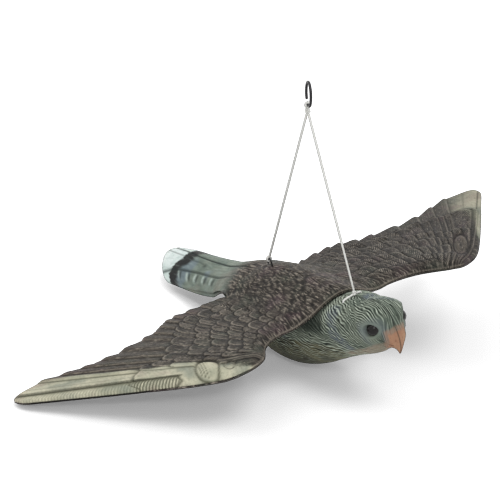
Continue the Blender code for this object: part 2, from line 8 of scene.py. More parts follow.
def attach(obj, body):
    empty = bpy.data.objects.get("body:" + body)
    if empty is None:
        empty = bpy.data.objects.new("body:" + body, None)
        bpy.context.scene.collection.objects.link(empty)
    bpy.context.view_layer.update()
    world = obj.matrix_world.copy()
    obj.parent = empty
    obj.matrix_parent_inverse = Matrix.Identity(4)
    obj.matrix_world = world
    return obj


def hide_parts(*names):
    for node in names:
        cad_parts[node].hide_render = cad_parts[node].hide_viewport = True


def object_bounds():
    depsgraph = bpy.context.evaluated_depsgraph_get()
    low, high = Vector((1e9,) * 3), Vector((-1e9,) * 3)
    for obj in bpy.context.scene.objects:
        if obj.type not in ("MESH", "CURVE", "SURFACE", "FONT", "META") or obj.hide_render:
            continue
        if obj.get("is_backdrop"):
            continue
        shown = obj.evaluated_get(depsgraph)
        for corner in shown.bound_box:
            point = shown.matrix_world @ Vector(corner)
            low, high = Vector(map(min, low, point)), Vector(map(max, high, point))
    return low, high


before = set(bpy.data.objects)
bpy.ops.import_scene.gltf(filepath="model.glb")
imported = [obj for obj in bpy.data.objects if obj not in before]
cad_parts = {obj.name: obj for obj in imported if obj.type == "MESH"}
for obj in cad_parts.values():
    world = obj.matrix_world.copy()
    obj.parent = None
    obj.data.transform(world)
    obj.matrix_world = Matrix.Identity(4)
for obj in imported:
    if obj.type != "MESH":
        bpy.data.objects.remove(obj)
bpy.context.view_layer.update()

# Where the bird hangs. It is modelled level, beak along +X and left wing along +Y, and then
# turned nose up below the ring, whose top bearing point is the origin.
hang_pitch = radians(22.44)
ring_radius = 0.0106
ring_wire = 0.0010
ring_foot_in_bird = Vector((0.1364, 0, 0.1996))
turned = Matrix.Rotation(-hang_pitch, 4, "Y")
ring_foot = Vector((0, 0, ring_wire - 2 * ring_radius))
bird_place = Matrix.Translation(ring_foot - turned @ ring_foot_in_bird) @ turned

# The camera stands before the right wing and looks down on the back.
camera = bpy.data.objects.new("camera", bpy.data.cameras.new("camera"))
camera.data.lens = 96.6
camera.data.sensor_width = 36
camera_place = Matrix.Translation((1.07583, -0.65820, 0.46733))
camera_turn = Matrix(((0.56479, -0.1547, 0.8106), (0.7991, 0.34775, -0.49042), (-0.20602, 0.92474, 0.32003)))
camera.matrix_world = bird_place @ camera_place @ camera_turn.to_4x4()
bpy.context.scene.collection.objects.link(camera)
bpy.context.scene.camera = camera


# The cord is a soft white braid. Two legs run from the ring down to the hook and to the neck;
# each is a taut stretch, and the braid shows as small crossing strands.
cord_radius = 0.0009
cord_sides = 18
cord_step = 0.0004
cord_clearance = 0.0004
braid_pitch = 0.0052
braid_depth = 0.10
knot_radius = 0.0023
knot_gap = 0.0003
knot_cord_radius = 0.0008
knot_sides = 14
knot_size = 0.00062
rounded_end_share = 0.55


def srgb(red, green, blue):
    """A colour as it is seen, 0 to 255, turned into the values that materials use."""
    channels = []
    for seen in (red, green, blue):
        channels.append(((seen / 255 + 0.055) / 1.055) ** 2.4 if seen > 10 else seen / 3294.6)
    return (*channels, 1.0)


def finish_piece(name, bm, material, body, *replaced):
    """Makes a piece from its bmesh, smooth shaded, riding on its body."""
    mesh = bpy.data.meshes.new(name)
    bm.to_mesh(mesh)
    bm.free()
    mesh.shade_smooth()
    piece = bpy.data.objects.new(name, mesh)
    bpy.context.scene.collection.objects.link(piece)
    mesh.materials.append(material)
    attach(piece, body)
    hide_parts(*replaced)
    return piece


def new_material(name, colour, roughness, metallic=0.0):
    """A material whose shader starts from one colour, for its nodes to vary."""
    material = bpy.data.materials.new(name)
    material.use_nodes = True
    shader = material.node_tree.nodes["Principled BSDF"]
    shader.inputs["Base Color"].default_value = colour
    shader.inputs["Roughness"].default_value = roughness
    shader.inputs["Metallic"].default_value = metallic
    return material, material.node_tree, shader


def add_node(tree, kind, links=(), **values):
    """Adds a node, sets its values, and links its inputs, each named or counted."""
    node = tree.nodes.new(kind)
    for key, value in values.items():
        setattr(node, key, value)
    for socket, source in links:
        if isinstance(source, bpy.types.NodeSocket):
            tree.links.new(source, node.inputs[socket])
        else:
            node.inputs[socket].default_value = source
    return node


def blend_colour(tree, share, under, over):
    """Lays one colour over another by a share."""
    return add_node(tree, "ShaderNodeMix", ((0, share), (6, under), (7, over)), data_type="RGBA").outputs[2]


def two_tone(tree, pattern, low, high, under, over):
    """Two tones of one paint, mottled by a pattern."""
    return blend_colour(tree, spread(tree, pattern, low, high), srgb(*under), srgb(*over))


def coats(tree, colour, *layers):
    """Lays thin coats over a colour: where each sets in on its pattern, how strong it gets, its colour."""
    for pattern, low, high, amount, over in layers:
        colour = blend_colour(tree, spread(tree, pattern, low, high, 0, amount), colour, srgb(*over))
    return colour


def work_out(tree, operation, first, second=0.0, third=0.0, clamp=False):
    """One step of arithmetic on values."""
    node = add_node(tree, "ShaderNodeMath", ((0, first), (1, second), (2, third)), operation=operation)
    node.use_clamp = clamp
    return node.outputs[0]


def multiply(tree, first, second):
    """The product of two values, such as a pattern and the mask that it lies in."""
    return work_out(tree, "MULTIPLY", first, second)


def spread(tree, value, low, high, out_low=0.0, out_high=1.0):
    """Stretches a range of values to another, smoothly."""
    ends = ((0, value), (1, low), (2, high), (3, out_low), (4, out_high))
    return add_node(tree, "ShaderNodeMapRange", ends, interpolation_type="SMOOTHSTEP").outputs[0]


def speckle(tree, coordinates, scale, detail=3.0, roughness=0.55, distortion=0.0):
    """Soft random variation at a scale per metre."""
    settings = (("Vector", coordinates), ("Scale", scale), ("Detail", detail), ("Roughness", roughness),
                ("Distortion", distortion))
    return add_node(tree, "ShaderNodeTexNoise", settings).outputs[0]


def stretched(tree, coordinates, scale, rotation=(0, 0, 0)):
    """Coordinates turned and scaled, so that a pattern runs one way."""
    node = add_node(tree, "ShaderNodeMapping", ((0, coordinates),))
    node.inputs["Rotation"].default_value = rotation
    node.inputs["Scale"].default_value = scale
    return node.outputs[0]


def object_coordinates(tree):
    """Places on the piece, in metres."""
    return add_node(tree, "ShaderNodeTexCoord").outputs["Object"]


def bird_coordinates(tree):
    """The same places, turned level with the bird."""
    return stretched(tree, object_coordinates(tree), (1, 1, 1), (0, hang_pitch, 0))


def larger(tree, first, second):
    """The larger of two values, so that two masks join."""
    return work_out(tree, "MAXIMUM", first, second)


def bump(tree, shader, height, distance, strength=1.0):
    """Raises the surface by a height pattern, in metres."""
    settings = (("Height", height), ("Distance", distance), ("Strength", strength))
    node = add_node(tree, "ShaderNodeBump", settings)
    tree.links.new(node.outputs[0], shader.inputs["Normal"])


def tube(name, route, radius, sides, material, body, *replaced, braid=0.0, closed=False, round_ends=False):
    """A cord or wire along a route, with its ends filled. A braid raises crossing strands on it."""
    bm = bmesh.new()
    cord_uv = bm.loops.layers.uv.new("cord")
    count = len(route)
    rings = count + 1 if closed else count
    made = bmesh.ops.create_grid(bm, x_segments=rings - 1, y_segments=sides, size=1.0)
    normal = Vector((0, 0, 1))
    frames, walked = [], 0.0
    for index in range(rings):
        here = route[index % count]
        before = route[(index - 1) % count] if closed or index else here
        after = route[(index + 1) % count] if closed or index < count - 1 else here
        ahead = (after - before).normalized()
        if index == 0 and abs(ahead.z) > 0.9:
            normal = Vector((1, 0, 0))
        normal = (normal - ahead * normal.dot(ahead)).normalized()
        frames.append((here, normal, ahead.cross(normal), walked))
        walked += (after - here).length
    if closed:
        turned_on = frames[0][1].cross(frames[-1][1]).dot(ahead) > 0
        twist = frames[0][1].angle(frames[-1][1]) * (1 if turned_on else -1)
    for vert in made["verts"]:
        ring = round((vert.co.x + 1) / 2 * (rings - 1))
        side = round((vert.co.y + 1) / 2 * sides)
        here, across, up, along = frames[ring]
        angle = tau * side / sides - (twist * ring / (rings - 1) if closed else 0.0)
        turn = tau * along / braid_pitch
        strand = max(cos(3 * angle - turn), cos(3 * angle + turn))
        reach = radius * (1.0 - braid * (1.0 - strand))
        if round_ends and not closed and ring in (0, rings - 1):
            reach *= rounded_end_share
        vert.co = here + (across * cos(angle) + up * sin(angle)) * reach
        for loop in vert.link_loops:
            loop[cord_uv].uv = (along, side / sides)
    bmesh.ops.remove_doubles(bm, verts=bm.verts, dist=radius * 0.02)
    if not closed:
        bmesh.ops.holes_fill(bm, edges=bm.edges, sides=0)
    bmesh.ops.recalc_face_normals(bm, faces=bm.faces)
    piece = finish_piece(name, bm, material, body, *replaced)
    return piece


def curve_between(here, after, leave, arrive, t):
    """A smooth curve from one value or point to the next, by its slopes at both."""
    return (here * (2 * t**3 - 3 * t**2 + 1) + leave * (t**3 - 2 * t**2 + t)
            + after * (3 * t**2 - 2 * t**3) + arrive * (t**3 - t**2))


def spaced(points, spacing):
    """Points along a smooth curve through a route, about evenly apart."""
    route = []
    last = len(points) - 1
    for index in range(last):
        here, after = points[index], points[index + 1]
        before, beyond = points[max(index - 1, 0)], points[min(index + 2, last)]
        steps = max(round((after - here).length / spacing), 1)
        for step in range(steps):
            route.append(curve_between(here, after, (after - before) / 2, (beyond - here) / 2, step / steps))
    route.append(points[-1])
    return route


def ring_round(centre, axis, radius, count=40):
    """Points of a ring of cord round a wire."""
    side = Vector((0, 1, 0)) if abs(axis.y) < 0.5 else Vector((1, 0, 0))
    up = axis.cross(side).normalized()
    side = up.cross(axis).normalized()
    return [centre + (side * cos(tau * i / count) + up * sin(tau * i / count)) * radius for i in range(count)]


def knot_route(centre, lean, size, count=96):
    """Points of a tight overhand knot, its hole along a direction."""
    turn = lean.to_track_quat("Z", "X")
    route = []
    for index in range(count):
        t = tau * index / count
        point = Vector((sin(t) + 2 * sin(2 * t), cos(t) - 2 * cos(2 * t), -1.25 * sin(3 * t)))
        route.append(centre + turn @ (point * size))
    return route


cord_white, tree, shader = new_material("braided_cord", srgb(236, 236, 232), 0.8)
cord_uv = add_node(tree, "ShaderNodeUVMap", uv_map="cord").outputs[0]
fibres = speckle(tree, stretched(tree, cord_uv, (5200, 26, 1)), 1.0, 3.0)
grime = speckle(tree, object_coordinates(tree), 160, 2.0)
white = coats(tree, two_tone(tree, fibres, 0.35, 0.75, (205, 205, 200), (248, 248, 245)),
              (grime, 0.5, 0.8, 0.3, (205, 198, 184)))
tree.links.new(white, shader.inputs["Base Color"])
shader.inputs["Sheen Weight"].default_value = 0.3
bump(tree, shader, fibres, 0.00012, 0.8)

hook_x = 0.0225
hook_curl = 0.0031
hook_wire = 0.0009
hook_level = 0.0306
hook_top = Vector((hook_x - hook_curl, 0, hook_level + hook_curl))
neck_knot = Vector((0.150, 0, 0.0229))
ring_tangent = Vector((cos(radians(-28.5)), sin(radians(-28.5)), 0))
knot_drop = ring_wire + cord_clearance + 2 * cord_radius + knot_gap + knot_radius
bridle_knot = ring_foot - Vector((0, 0, knot_drop))
hook_in_world, neck_in_world = bird_place @ hook_top, bird_place @ neck_knot


def straight(low, high, spacing=cord_step):
    """Points along a taut stretch of cord."""
    steps = round((high - low).length / spacing)
    return [low.lerp(high, step / steps) for step in range(steps + 1)]


rear_way = (bridle_knot - hook_in_world).normalized()
front_way = (bridle_knot - neck_in_world).normalized()
rear_low = hook_in_world + rear_way * (hook_wire + cord_clearance + 2 * cord_radius + knot_gap)
rear_high = bridle_knot - rear_way * (knot_radius + knot_gap)
front_low = neck_in_world + front_way * (knot_radius + knot_gap)
front_high = bridle_knot - front_way * (knot_radius + knot_gap)
for name, low, high in (("cord_rear", rear_low, rear_high), ("cord_front", front_low, front_high)):
    leg = tube(name, straight(low, high), cord_radius, cord_sides, cord_white, "bridle", name + "_leg",
               braid=braid_depth)

roll_axis = (bird_place.to_3x3() @ (neck_knot - hook_top)).normalized()
loop_reach = cord_clearance + cord_radius
tube("loop_on_hook", ring_round(hook_in_world, roll_axis, hook_wire + loop_reach),
     cord_radius, cord_sides, cord_white, "bridle", "hook_loop", braid=braid_depth, closed=True)
tube("loop_on_ring", ring_round(ring_foot, ring_tangent, ring_wire + loop_reach),
     cord_radius, cord_sides, cord_white, "ring_cord", "ring_loop", braid=braid_depth, closed=True)
tube("knot_at_ring", knot_route(bridle_knot, Vector((0.3, -0.8, 0.4)), knot_size),
     knot_cord_radius, knot_sides, cord_white, "bridle", "bridle_knot", braid=braid_depth, closed=True)
tube("knot_at_neck", knot_route(neck_in_world, Vector((0.7, -0.5, 0.5)), knot_size),
     knot_cord_radius, knot_sides, cord_white, "bird", "neck_knot", braid=braid_depth, closed=True)

# The loop round the neck goes down through two holes in the neck, which is a squarish oval there.
neck_holes_x = 0.1485
neck_wall = 0.0026
neck_half_width = 0.703 * 0.037
neck_crest = 0.900 * 0.022
neck_widest = -0.091 * 0.066
neck_roundness = 2.8


def neck_level(y):
    """Height of the neck at the cord holes."""
    across = min(abs(y) / neck_half_width, 1.0)
    return neck_widest + (neck_crest - neck_widest) * (1.0 - across**neck_roundness) ** (1 / neck_roundness)


sides = []
for hole_y in (0.0080, -0.0125):
    hole = Vector((neck_holes_x, hole_y, neck_level(hole_y)))
    leave = Vector(((hole.x - neck_knot.x) / 2, hole_y, 0)).normalized()
    leave.z = -0.45
    out = neck_knot + leave.normalized() * (knot_radius + knot_gap)
    over = hole + Vector((0, 0, cord_radius))
    under = hole - Vector((0, 0, neck_wall + cord_radius * 2))
    bend = Vector((hole.x, hole_y * 0.6, under.z - cord_radius * 2))
    sides.append([out, out.lerp(over, 0.5) + Vector((0, 0, cord_radius * 0.4)), over, under, bend])
neck_route = [bird_place @ point for point in spaced(sides[0] + sides[1][::-1], cord_step)]
tube("loop_in_neck", neck_route, cord_radius, cord_sides, cord_white, "bird", "neck_loop", braid=braid_depth)


# The ring and the screw hook are bent from black painted wire, open where the cord slips on.
# Their cut ends are slightly rounded. The hook's shank goes down into the back, ahead of the tail.
black_wire, tree, shader = new_material("black_wire", srgb(30, 30, 32), 0.38, 0.35)
wire_wear = speckle(tree, object_coordinates(tree), 900, 4.0)
black = two_tone(tree, wire_wear, 0.5, 0.8, (22, 22, 24), (62, 60, 58))
tree.links.new(black, shader.inputs["Base Color"])
tree.links.new(spread(tree, wire_wear, 0.3, 0.8, 0.28, 0.55), shader.inputs["Roughness"])
bump(tree, shader, wire_wear, 0.00006, 0.6)

ring_sides, hook_sides = 24, 20
ring_centre = Vector((0, 0, ring_wire - ring_radius))
ring_start, ring_turn, ring_steps = radians(-111), radians(344), 120
ring_route = []
for index in range(ring_steps + 1):
    angle = ring_start + ring_turn * index / ring_steps
    way = ring_tangent * cos(angle) + Vector((0, 0, 1)) * sin(angle)
    ring_route.append(ring_centre + way * ring_radius)
tube("open_ring", ring_route, ring_wire, ring_sides, black_wire, "ring", "hanging_ring", round_ends=True)

shank_length, shank_step, shank_points = 0.019, 0.0006, 27
hook_turn, hook_steps = radians(225), 60
hook_route = []
for index in range(shank_points):
    hook_route.append(Vector((hook_x, 0, hook_level - shank_length + shank_step * index)))
for index in range(hook_steps + 1):
    angle = hook_turn * index / hook_steps
    x, z = hook_x - hook_curl + hook_curl * cos(angle), hook_level + hook_curl * sin(angle)
    hook_route.append(Vector((x, 0, z)))
tube("screw_hook", [bird_place @ point for point in hook_route], hook_wire, hook_sides, black_wire, "bird",
     "tail_hook", round_ends=True)


# The panel is one wide moulding of both wings, the back and the tail, with every feather raised
# in the plastic and brushed with paint: dark brown over the wings, olive on their leading edge,
# grey-green on the tail, which ends in a black band and a white tip.
half_span = 0.285
wrist_forward = 0.158
wing_crown, back_crown = 0.0060, 0.0020
wing_front_bow = 0.0096
back_rise = 0.0225
back_half_widths = (0.070, 0.056)
shoulder_rise = 0.0050
wing_tip_rise = 0.0030
tail_root = 0.002
tail_tip = -0.176
tail_half_width, tail_flare = 0.030, 0.013
tail_corner = 0.033
tail_droop_depth = 0.022
tail_crown = 0.0020
collar = 0.128
wall = 0.0015
half_gap = 0.00015
rim_step = 0.00045
leading_shares = [
    (0.994, 0.444), (1.000, 0.423), (0.991, 0.404), (0.972, 0.386), (0.943, 0.372), (0.908, 0.358),
    (0.867, 0.342), (0.829, 0.323), (0.797, 0.296), (0.772, 0.267), (0.750, 0.233), (0.744, 0.196),
    (0.753, 0.154)]
trailing_shares = [
    (0.165, 0.977), (0.095, 1.002), (-0.032, 0.898), (-0.006, 0.811), (0.038, 0.716), (0.041, 0.616),
    (0.000, 0.511), (-0.022, 0.446), (-0.092, 0.396), (-0.117, 0.351), (-0.114, 0.291), (-0.089, 0.211)]
back_lines = [0.0, 0.33, 0.77, 1.0]
crown_rows = [(0, 0), (0.04, 0.55), (0.12, 0.90), (0.30, 1.0), (0.45, 0.87), (0.57, 0.70), (0.78, 0.38),
              (0.93, 0.10), (1, 0)]
edge_bow_rows = [(0, 0), (0.12, 0.8), (0.2, 1), (0.35, 0.92), (0.51, 0.73), (0.7, 0.46), (0.87, 0.18), (1, 0)]
back_crest = [(0, 0.87), (0.07, 0.93), (0.16, 0.98), (0.5, 1), (1, 0.82)]
tail_crest = [(0, 0.87), (0.12, 0.70), (0.29, 0.55), (0.46, 0.49), (0.62, 0.47), (0.82, 0.49), (1, 0.45)]
tail_width = [(0, 1), (0.12, 0.65), (0.29, 0.22), (0.46, 0.03), (0.64, -0.04), (1, -0.08)]
tail_droop = [(0, 0.6), (0.12, 0.72), (0.29, 0.88), (0.46, 1), (0.64, 1), (1, 0.95)]

# Tips of the rows of coverts on each wing, from the large ones forwards: place along the wing
# in feathers from the tip, and share of the way back from the leading edge
covert_rows = {
    -1: [[(0.95, 0.50), (1.9, 0.525), (3.2, 0.56), (4.3, 0.588), (5.3, 0.66), (6.3, 0.74), (7.9, 0.84),
          (10, 0.86), (12, 0.84)],
         [(2.5, 0.36), (3.4, 0.45), (5, 0.48), (7, 0.61), (9, 0.69), (12, 0.70)],
         [(3.2, 0.30), (5, 0.36), (7, 0.46), (9, 0.54), (12, 0.57)],
         [(3.6, 0.22), (6, 0.27), (9, 0.40), (12, 0.44)],
         [(4, 0.13), (7, 0.17), (9, 0.27), (12, 0.31)],
         [(4.5, 0.06), (8, 0.10), (12, 0.19)]],
    1: [[(0.9, 0.70), (1.4, 0.71), (2.2, 0.72), (2.9, 0.75), (3.7, 0.80), (4.6, 0.87), (6.5, 0.88),
         (12, 0.86)],
        [(1.2, 0.46), (1.7, 0.45), (2.9, 0.48), (3.6, 0.55), (4.2, 0.63), (5.2, 0.70), (7, 0.72), (12, 0.71)],
        [(1.9, 0.34), (3, 0.37), (4.2, 0.48), (5.5, 0.57), (12, 0.57)],
        [(2.2, 0.24), (4, 0.30), (6.4, 0.42), (12, 0.44)],
        [(2.4, 0.14), (5, 0.20), (8, 0.28), (12, 0.31)],
        [(4.5, 0.07), (8, 0.13), (12, 0.19)]]}
# Raised ovals near the wrist of each wing: middle, half length, half width, how square, and height
wrist_ovals = {-1: [(0.1278, 0.1530, 0.0105, 0.0075, 0.0080, -0.0055, 3, 0.0026),
                    (0.1415, 0.1380, 0.0050, 0.0, 0.0, 0.0045, 2, 0.0012)],
               1: [(0.1230, 0.1560, 0.0186, -0.0167, 0.0042, 0.0046, 2, 0.0018)]}
strip_edge = 1.22


def ease(share):
    """Eases a share from 0 to 1 and holds it there."""
    held = min(max(share, 0.0), 1.0)
    return held * held * (3.0 - 2.0 * held)


def soft_line(distance, width):
    """A soft line or spot: 1 at its middle, fading over its width."""
    return exp(-((distance / width) ** 2))


def read_rows(table, at):
    """Reads a value between the rows of a table, through a smooth curve."""
    if at <= table[0][0]:
        return table[0][1]
    for index in range(len(table) - 1):
        here, after = table[index], table[index + 1]
        if at <= after[0]:
            before, beyond = table[max(index - 1, 0)], table[min(index + 2, len(table) - 1)]
            width = after[0] - here[0]
            leave = (after[1] - before[1]) / (after[0] - before[0])
            arrive = (beyond[1] - here[1]) / (beyond[0] - here[0])
            return curve_between(here[1], after[1], width * leave, width * arrive, (at - here[0]) / width)
    return table[-1][1]


def back_level(x, y):
    """Height of the surface where the two mouldings of the panel part."""
    along = min(max((x - tail_root) / (collar - tail_root), 0.0), 1.0)
    width = back_half_widths[0] + (back_half_widths[1] - back_half_widths[0]) * along
    arch = back_rise * read_rows(back_crest, along) * cos(min(abs(y) / width, 1.0) * pi / 2) ** 2
    shoulder = ease((x - 0.080) / 0.078) * ease((abs(y) - 0.042) / 0.040) * ease((0.150 - abs(y)) / 0.040)
    return arch + shoulder_rise * shoulder + wing_tip_rise * (y / half_span) ** 4


def tail_edge(along):
    """Half width of the tail, from its root to its tip."""
    return tail_half_width + tail_flare * read_rows(tail_width, along)


def tail_level(x, y):
    """Height of the same parting surface on the tail, whose sides droop."""
    along = (tail_root - x) / (tail_root - tail_tip)
    across = y / tail_edge(along)
    drooped = back_rise * read_rows(tail_crest, along)
    drooped -= tail_droop_depth * read_rows(tail_droop, along) * across**2
    share = ease(along / 0.3)
    return back_level(x, y) * (1 - share) + drooped * share


# How far the rounded feather ends stand out: the longest one, the outer ones and the inner ones
scallop_reaches = (0.0076, 0.0032, 0.0028)
wing_front = [Vector((x * wrist_forward, y * half_span, 0)) for x, y in leading_shares]
wing_rear = [Vector((x * wrist_forward, y * half_span, 0)) for x, y in trailing_shares]
wing_feathers = len(trailing_shares)
back_front, back_rear = wing_front[wing_feathers], Vector((tail_root, tail_half_width + tail_flare, 0))
wing_rear.append(back_rear)
for line in back_lines[1:]:
    wing_front.append(Vector((back_front.x + (collar - back_front.x) * sin(line * pi / 2),
                              back_front.y * (1 - line), 0)))
    wing_rear.append(Vector((tail_root, back_rear.y * (1 - line), 0)))
wing_places = wing_feathers + len(back_lines) - 1


def on_line(points, at, smooth):
    """A point between the points of an outline, straight or on a smooth curve."""
    index = min(int(at), len(points) - 2)
    t = at - index
    here, after = points[index], points[index + 1]
    if not smooth:
        return here.lerp(after, t)
    before, beyond = points[max(index - 1, 0)], points[min(index + 2, len(points) - 1)]
    return curve_between(here, after, (after - before) / 2, (beyond - here) / 2, t)


def wing_plan(place, share):
    """Plan position on the wing, with its height over the parting surface."""
    start = on_line(wing_front, place, place > 1)
    end = on_line(wing_rear, place, False)
    way = (end - start).normalized()
    scallop = sin(pi * (place % 1.0) ** 0.6) if place < wing_feathers else 0.0
    first_reach, outer_reach, inner_reach = scallop_reaches
    reach = first_reach if int(place) == 1 else (outer_reach if place < 6 else inner_reach)
    bow = wing_front_bow * max(1.0 - place / 6, 0.0) * read_rows(edge_bow_rows, share)
    point = start.lerp(end, share) + Vector((way.y, -way.x, 0)) * bow
    point += way * reach * scallop * ease((share - 0.6) / 0.4)
    crown = read_rows(crown_rows, share)
    inside = ease(place - wing_feathers)
    front_fade = crown if share < 0.5 else 1.0
    height = (wing_crown * crown * (1 - inside) + back_crown * inside * front_fade) * ease(place / 1.6)
    return point, height, (end - start).length


def chance(row, feather, seed):
    """A steady number from 0 to 1 for one feather."""
    return noise.cell(Vector((feather + 0.5, row * 7.0 + 0.5, seed + 0.5))) * 0.5 + 0.5


def lay_feathers(side):
    """The covert feathers of each row of a wing: centre and breadth in places, and share at the tip."""
    rows = []
    for number, row in enumerate(covert_rows[side]):
        feathers = []
        centre = row[0][0] + (0.25 if side > 0 or number else 0.75) + 0.2 * (number % 2)
        while centre < wing_feathers + 0.6:
            breadth = (0.58 if centre < 6 else 0.74) if side > 0 else 0.80
            breadth *= (1.15 if number > 2 else 1.0) * (0.8 + 0.4 * chance(number, len(feathers), side + 2))
            tip = read_rows(row, centre) + 0.035 * (chance(number, len(feathers), side + 3) - 0.5)
            feathers.append((centre, breadth, tip))
            centre += breadth
        rows.append(feathers)
    return rows


covert_feathers = {side: lay_feathers(side) for side in (-1, 1)}
covert_overlap = 0.80
covert_steps = (0.0023, 0.0021, 0.0019, 0.0018, 0.0015, 0.0011)
flight_step = 0.0021
narrowest_cell = 0.004
strip_height_share = 0.6
shadow_width = 0.0021
edge_lift = 0.0003
tick_pitch, tick_depth = 0.0026, 0.0004
no_feather = (None, 0, 0.0, 0.0, 0.0, 0.0)


def feather_at(side, place, share, cell, length):
    """The covert feather on top at one spot, and the way to the edge of the feathers that cover it."""
    gap = 1.0
    if place < strip_edge and (side < 0 or place < 0.6):
        return *no_feather, gap
    for number in reversed(range(len(covert_steps))):
        for index in reversed(range(len(covert_feathers[side][number]))):
            centre, breadth, tip = covert_feathers[side][number][index]
            aside = (place - centre) / (covert_overlap * breadth)
            if abs(aside) > 1.6:
                continue
            half = covert_overlap * breadth * cell
            to_tip = (tip - share) * length
            inside = (1 - sqrt(aside**2 + max(1 - to_tip / (half * 1.3), 0) ** 2)) * half
            if inside > 0:
                return number, index, aside, half, inside, to_tip, gap
            gap = min(gap, -inside)
    return *no_feather, gap


def feather_relief(side, place, share, point, length):
    """Relief of one spot of the wing: height, painted groove shade, painted edge highlight, hatch, and place
    on its feather.
    """
    inward, outward = min(place + 0.5, wing_places), max(place - 0.5, 0)
    inner_spot = on_line(wing_front, inward, True).lerp(on_line(wing_rear, inward, False), share)
    outer_spot = on_line(wing_front, outward, True).lerp(on_line(wing_rear, outward, False), share)
    cell = max((inner_spot - outer_spot).length, narrowest_cell)
    number, index, aside, half, inside, to_tip, gap = feather_at(side, place, share, cell, length)
    # Painted shadow below the edge of the feathers that cover this spot.
    shadow = soft_line(gap, shadow_width)
    if number is None:
        at = place
        if side < 0:
            past = 1 + (place - strip_edge) / (2 - strip_edge)
            at = place / strip_edge if place < strip_edge else max(past, place)
        spot = (at % 1.0) * 2 - 1
        to_tip = (1 - share) * length
        outer, inner = (spot + 1) / 2 * cell, (1 - spot) / 2 * cell
        rounded = ease((spot + 1) / 0.35) * (1.0 - 0.75 * ease((spot + 0.65) / 1.65))
        # Painted shade in the grooves between flight feathers, a painted highlight along each raised edge,
        # and a pale shaft line.
        shade_and_dark_marks = max(soft_line(inner, 0.0018), 0.9 * soft_line(outer, 0.0009))
        lit = soft_line(outer - 0.0021, 0.0012)
        shaft = soft_line((spot + 0.1) * cell / 2, 0.0008)
        shaft_line = soft_line((spot + 0.1) * cell / 2 - 0.0014, 0.0009)
        shade_and_dark_marks = max(shade_and_dark_marks, 0.5 * shaft_line)
        light = max(0.6 * lit, 0.35 * shaft)
        height, hatch, across = flight_step * rounded, 0.25, abs(spot) * cell / 2
        if at < 1:
            shade_and_dark_marks, light = soft_line(inner, 0.0014), 0.0
            height *= strip_height_share
            across, barb = 0.0, 1.44 * point.x - 0.90 * point.y
            if side < 0:
                hatch = (1.4 if share < 0.51 else 0.5) * ease((share - 0.30) / 0.02)
                ends = max(soft_line((share - 0.305 - 0.022 * spot**2) * length, 0.0018),
                           soft_line((share - 0.51 - 0.02 * spot) * length, 0.0012))
                shade_and_dark_marks = max(shade_and_dark_marks * ease((share - 0.30) / 0.03), ends)
                height -= tick_depth * ends
            else:
                hatch = 0.3 * ease((share - 0.4) / 0.1)
            return height, max(shade_and_dark_marks, shadow), light, hatch, across, barb
        light += 0.35 * soft_line(to_tip - 0.0015, 0.0012)
    else:
        own = chance(number, index, 5)
        rise = ease(inside / 0.0011 + 0.3) * (1.0 - 0.55 * ease(to_tip / 0.022))
        rise *= 1.0 - 0.25 * (aside + 1) / 2
        height = covert_steps[number] * rise + edge_lift
        calm = 0.12 if side < 0 and place < 2.9 else 1.0
        hatch = calm * (0.2 + 0.8 * ease((own - 0.35) / 0.3))
        across = abs(aside) * half
        # A painted highlight along each covert's rounded edge and pale quill, and painted shade in the groove
        # beside the quill.
        light = 0.85 * soft_line(inside - 0.0013, 0.0009) * (1 - 0.5 * ease((aside + 0.2) / 1.0))
        quill = soft_line((aside + 0.35 - 0.3 * own) * half, 0.0009)
        quill *= ease(to_tip / 0.004) * ease((0.017 - to_tip) / 0.004) * (own > 0.35) * calm
        light = max(light, 0.8 * quill)
        light *= 0.45 + 0.55 * chance(number, index, 8)
        shade_and_dark_marks = 0.8 * calm * soft_line((aside + 0.05 - 0.3 * own) * half, 0.0011)
        shade_and_dark_marks *= ease((0.02 - to_tip) / 0.006) * ease((to_tip - 0.003) / 0.003)
        if side > 0 and number == 0 and aside < 0:
            ticks = max(sin(tau * to_tip / tick_pitch), 0.0) * soft_line(inside - 0.0032, 0.0020)
            shade_and_dark_marks = max(shade_and_dark_marks, 0.9 * ticks)
            height -= tick_depth * ticks
    return height, max(shade_and_dark_marks, shadow), light, hatch, across, to_tip


# Where the olive paint ends on each wing: share of the way back, and place along the wing
right_edge_rows = [(0, 0.2), (0.06, 1.0), (0.12, 1.6), (0.2, 2.4), (0.3, 2.8), (0.44, 2.6), (0.5, 2.2),
                   (0.56, 2.2), (0.61, 2.5), (0.7, 2.3), (0.85, 2.4), (0.95, 2.1), (1, 2.1)]
left_edge_rows = [(0, -1), (0.30, -0.4), (0.38, 0.6), (0.5, 1.1), (0.6, 1.3), (0.69, 1.6), (0.74, 2.4),
                  (0.78, 3.1), (0.84, 3.9), (0.9, 4.5), (1, 5.1)]


def wing_paint(side, place, share):
    """Share of olive on the wing: along its leading edge and at its tip."""
    if side < 0:
        softness = 1.2 + 1.4 * ease((0.35 - share) / 0.3)
        return ease((read_rows(right_edge_rows, share) - place) / softness + 0.5)
    worn = 0.66 - 0.42 * ease((place - 0.6) / 2.4)
    return ease((read_rows(left_edge_rows, share) - place) / 1.3 + 0.5) * worn


# Where the white tip of the tail starts: place across, and share of the tail's length
band_rows = [(-1, 0.905), (-0.86, 0.87), (-0.68, 0.82), (-0.42, 0.74), (0, 0.715), (0.3, 0.715), (0.7, 0.72),
             (1, 0.74)]

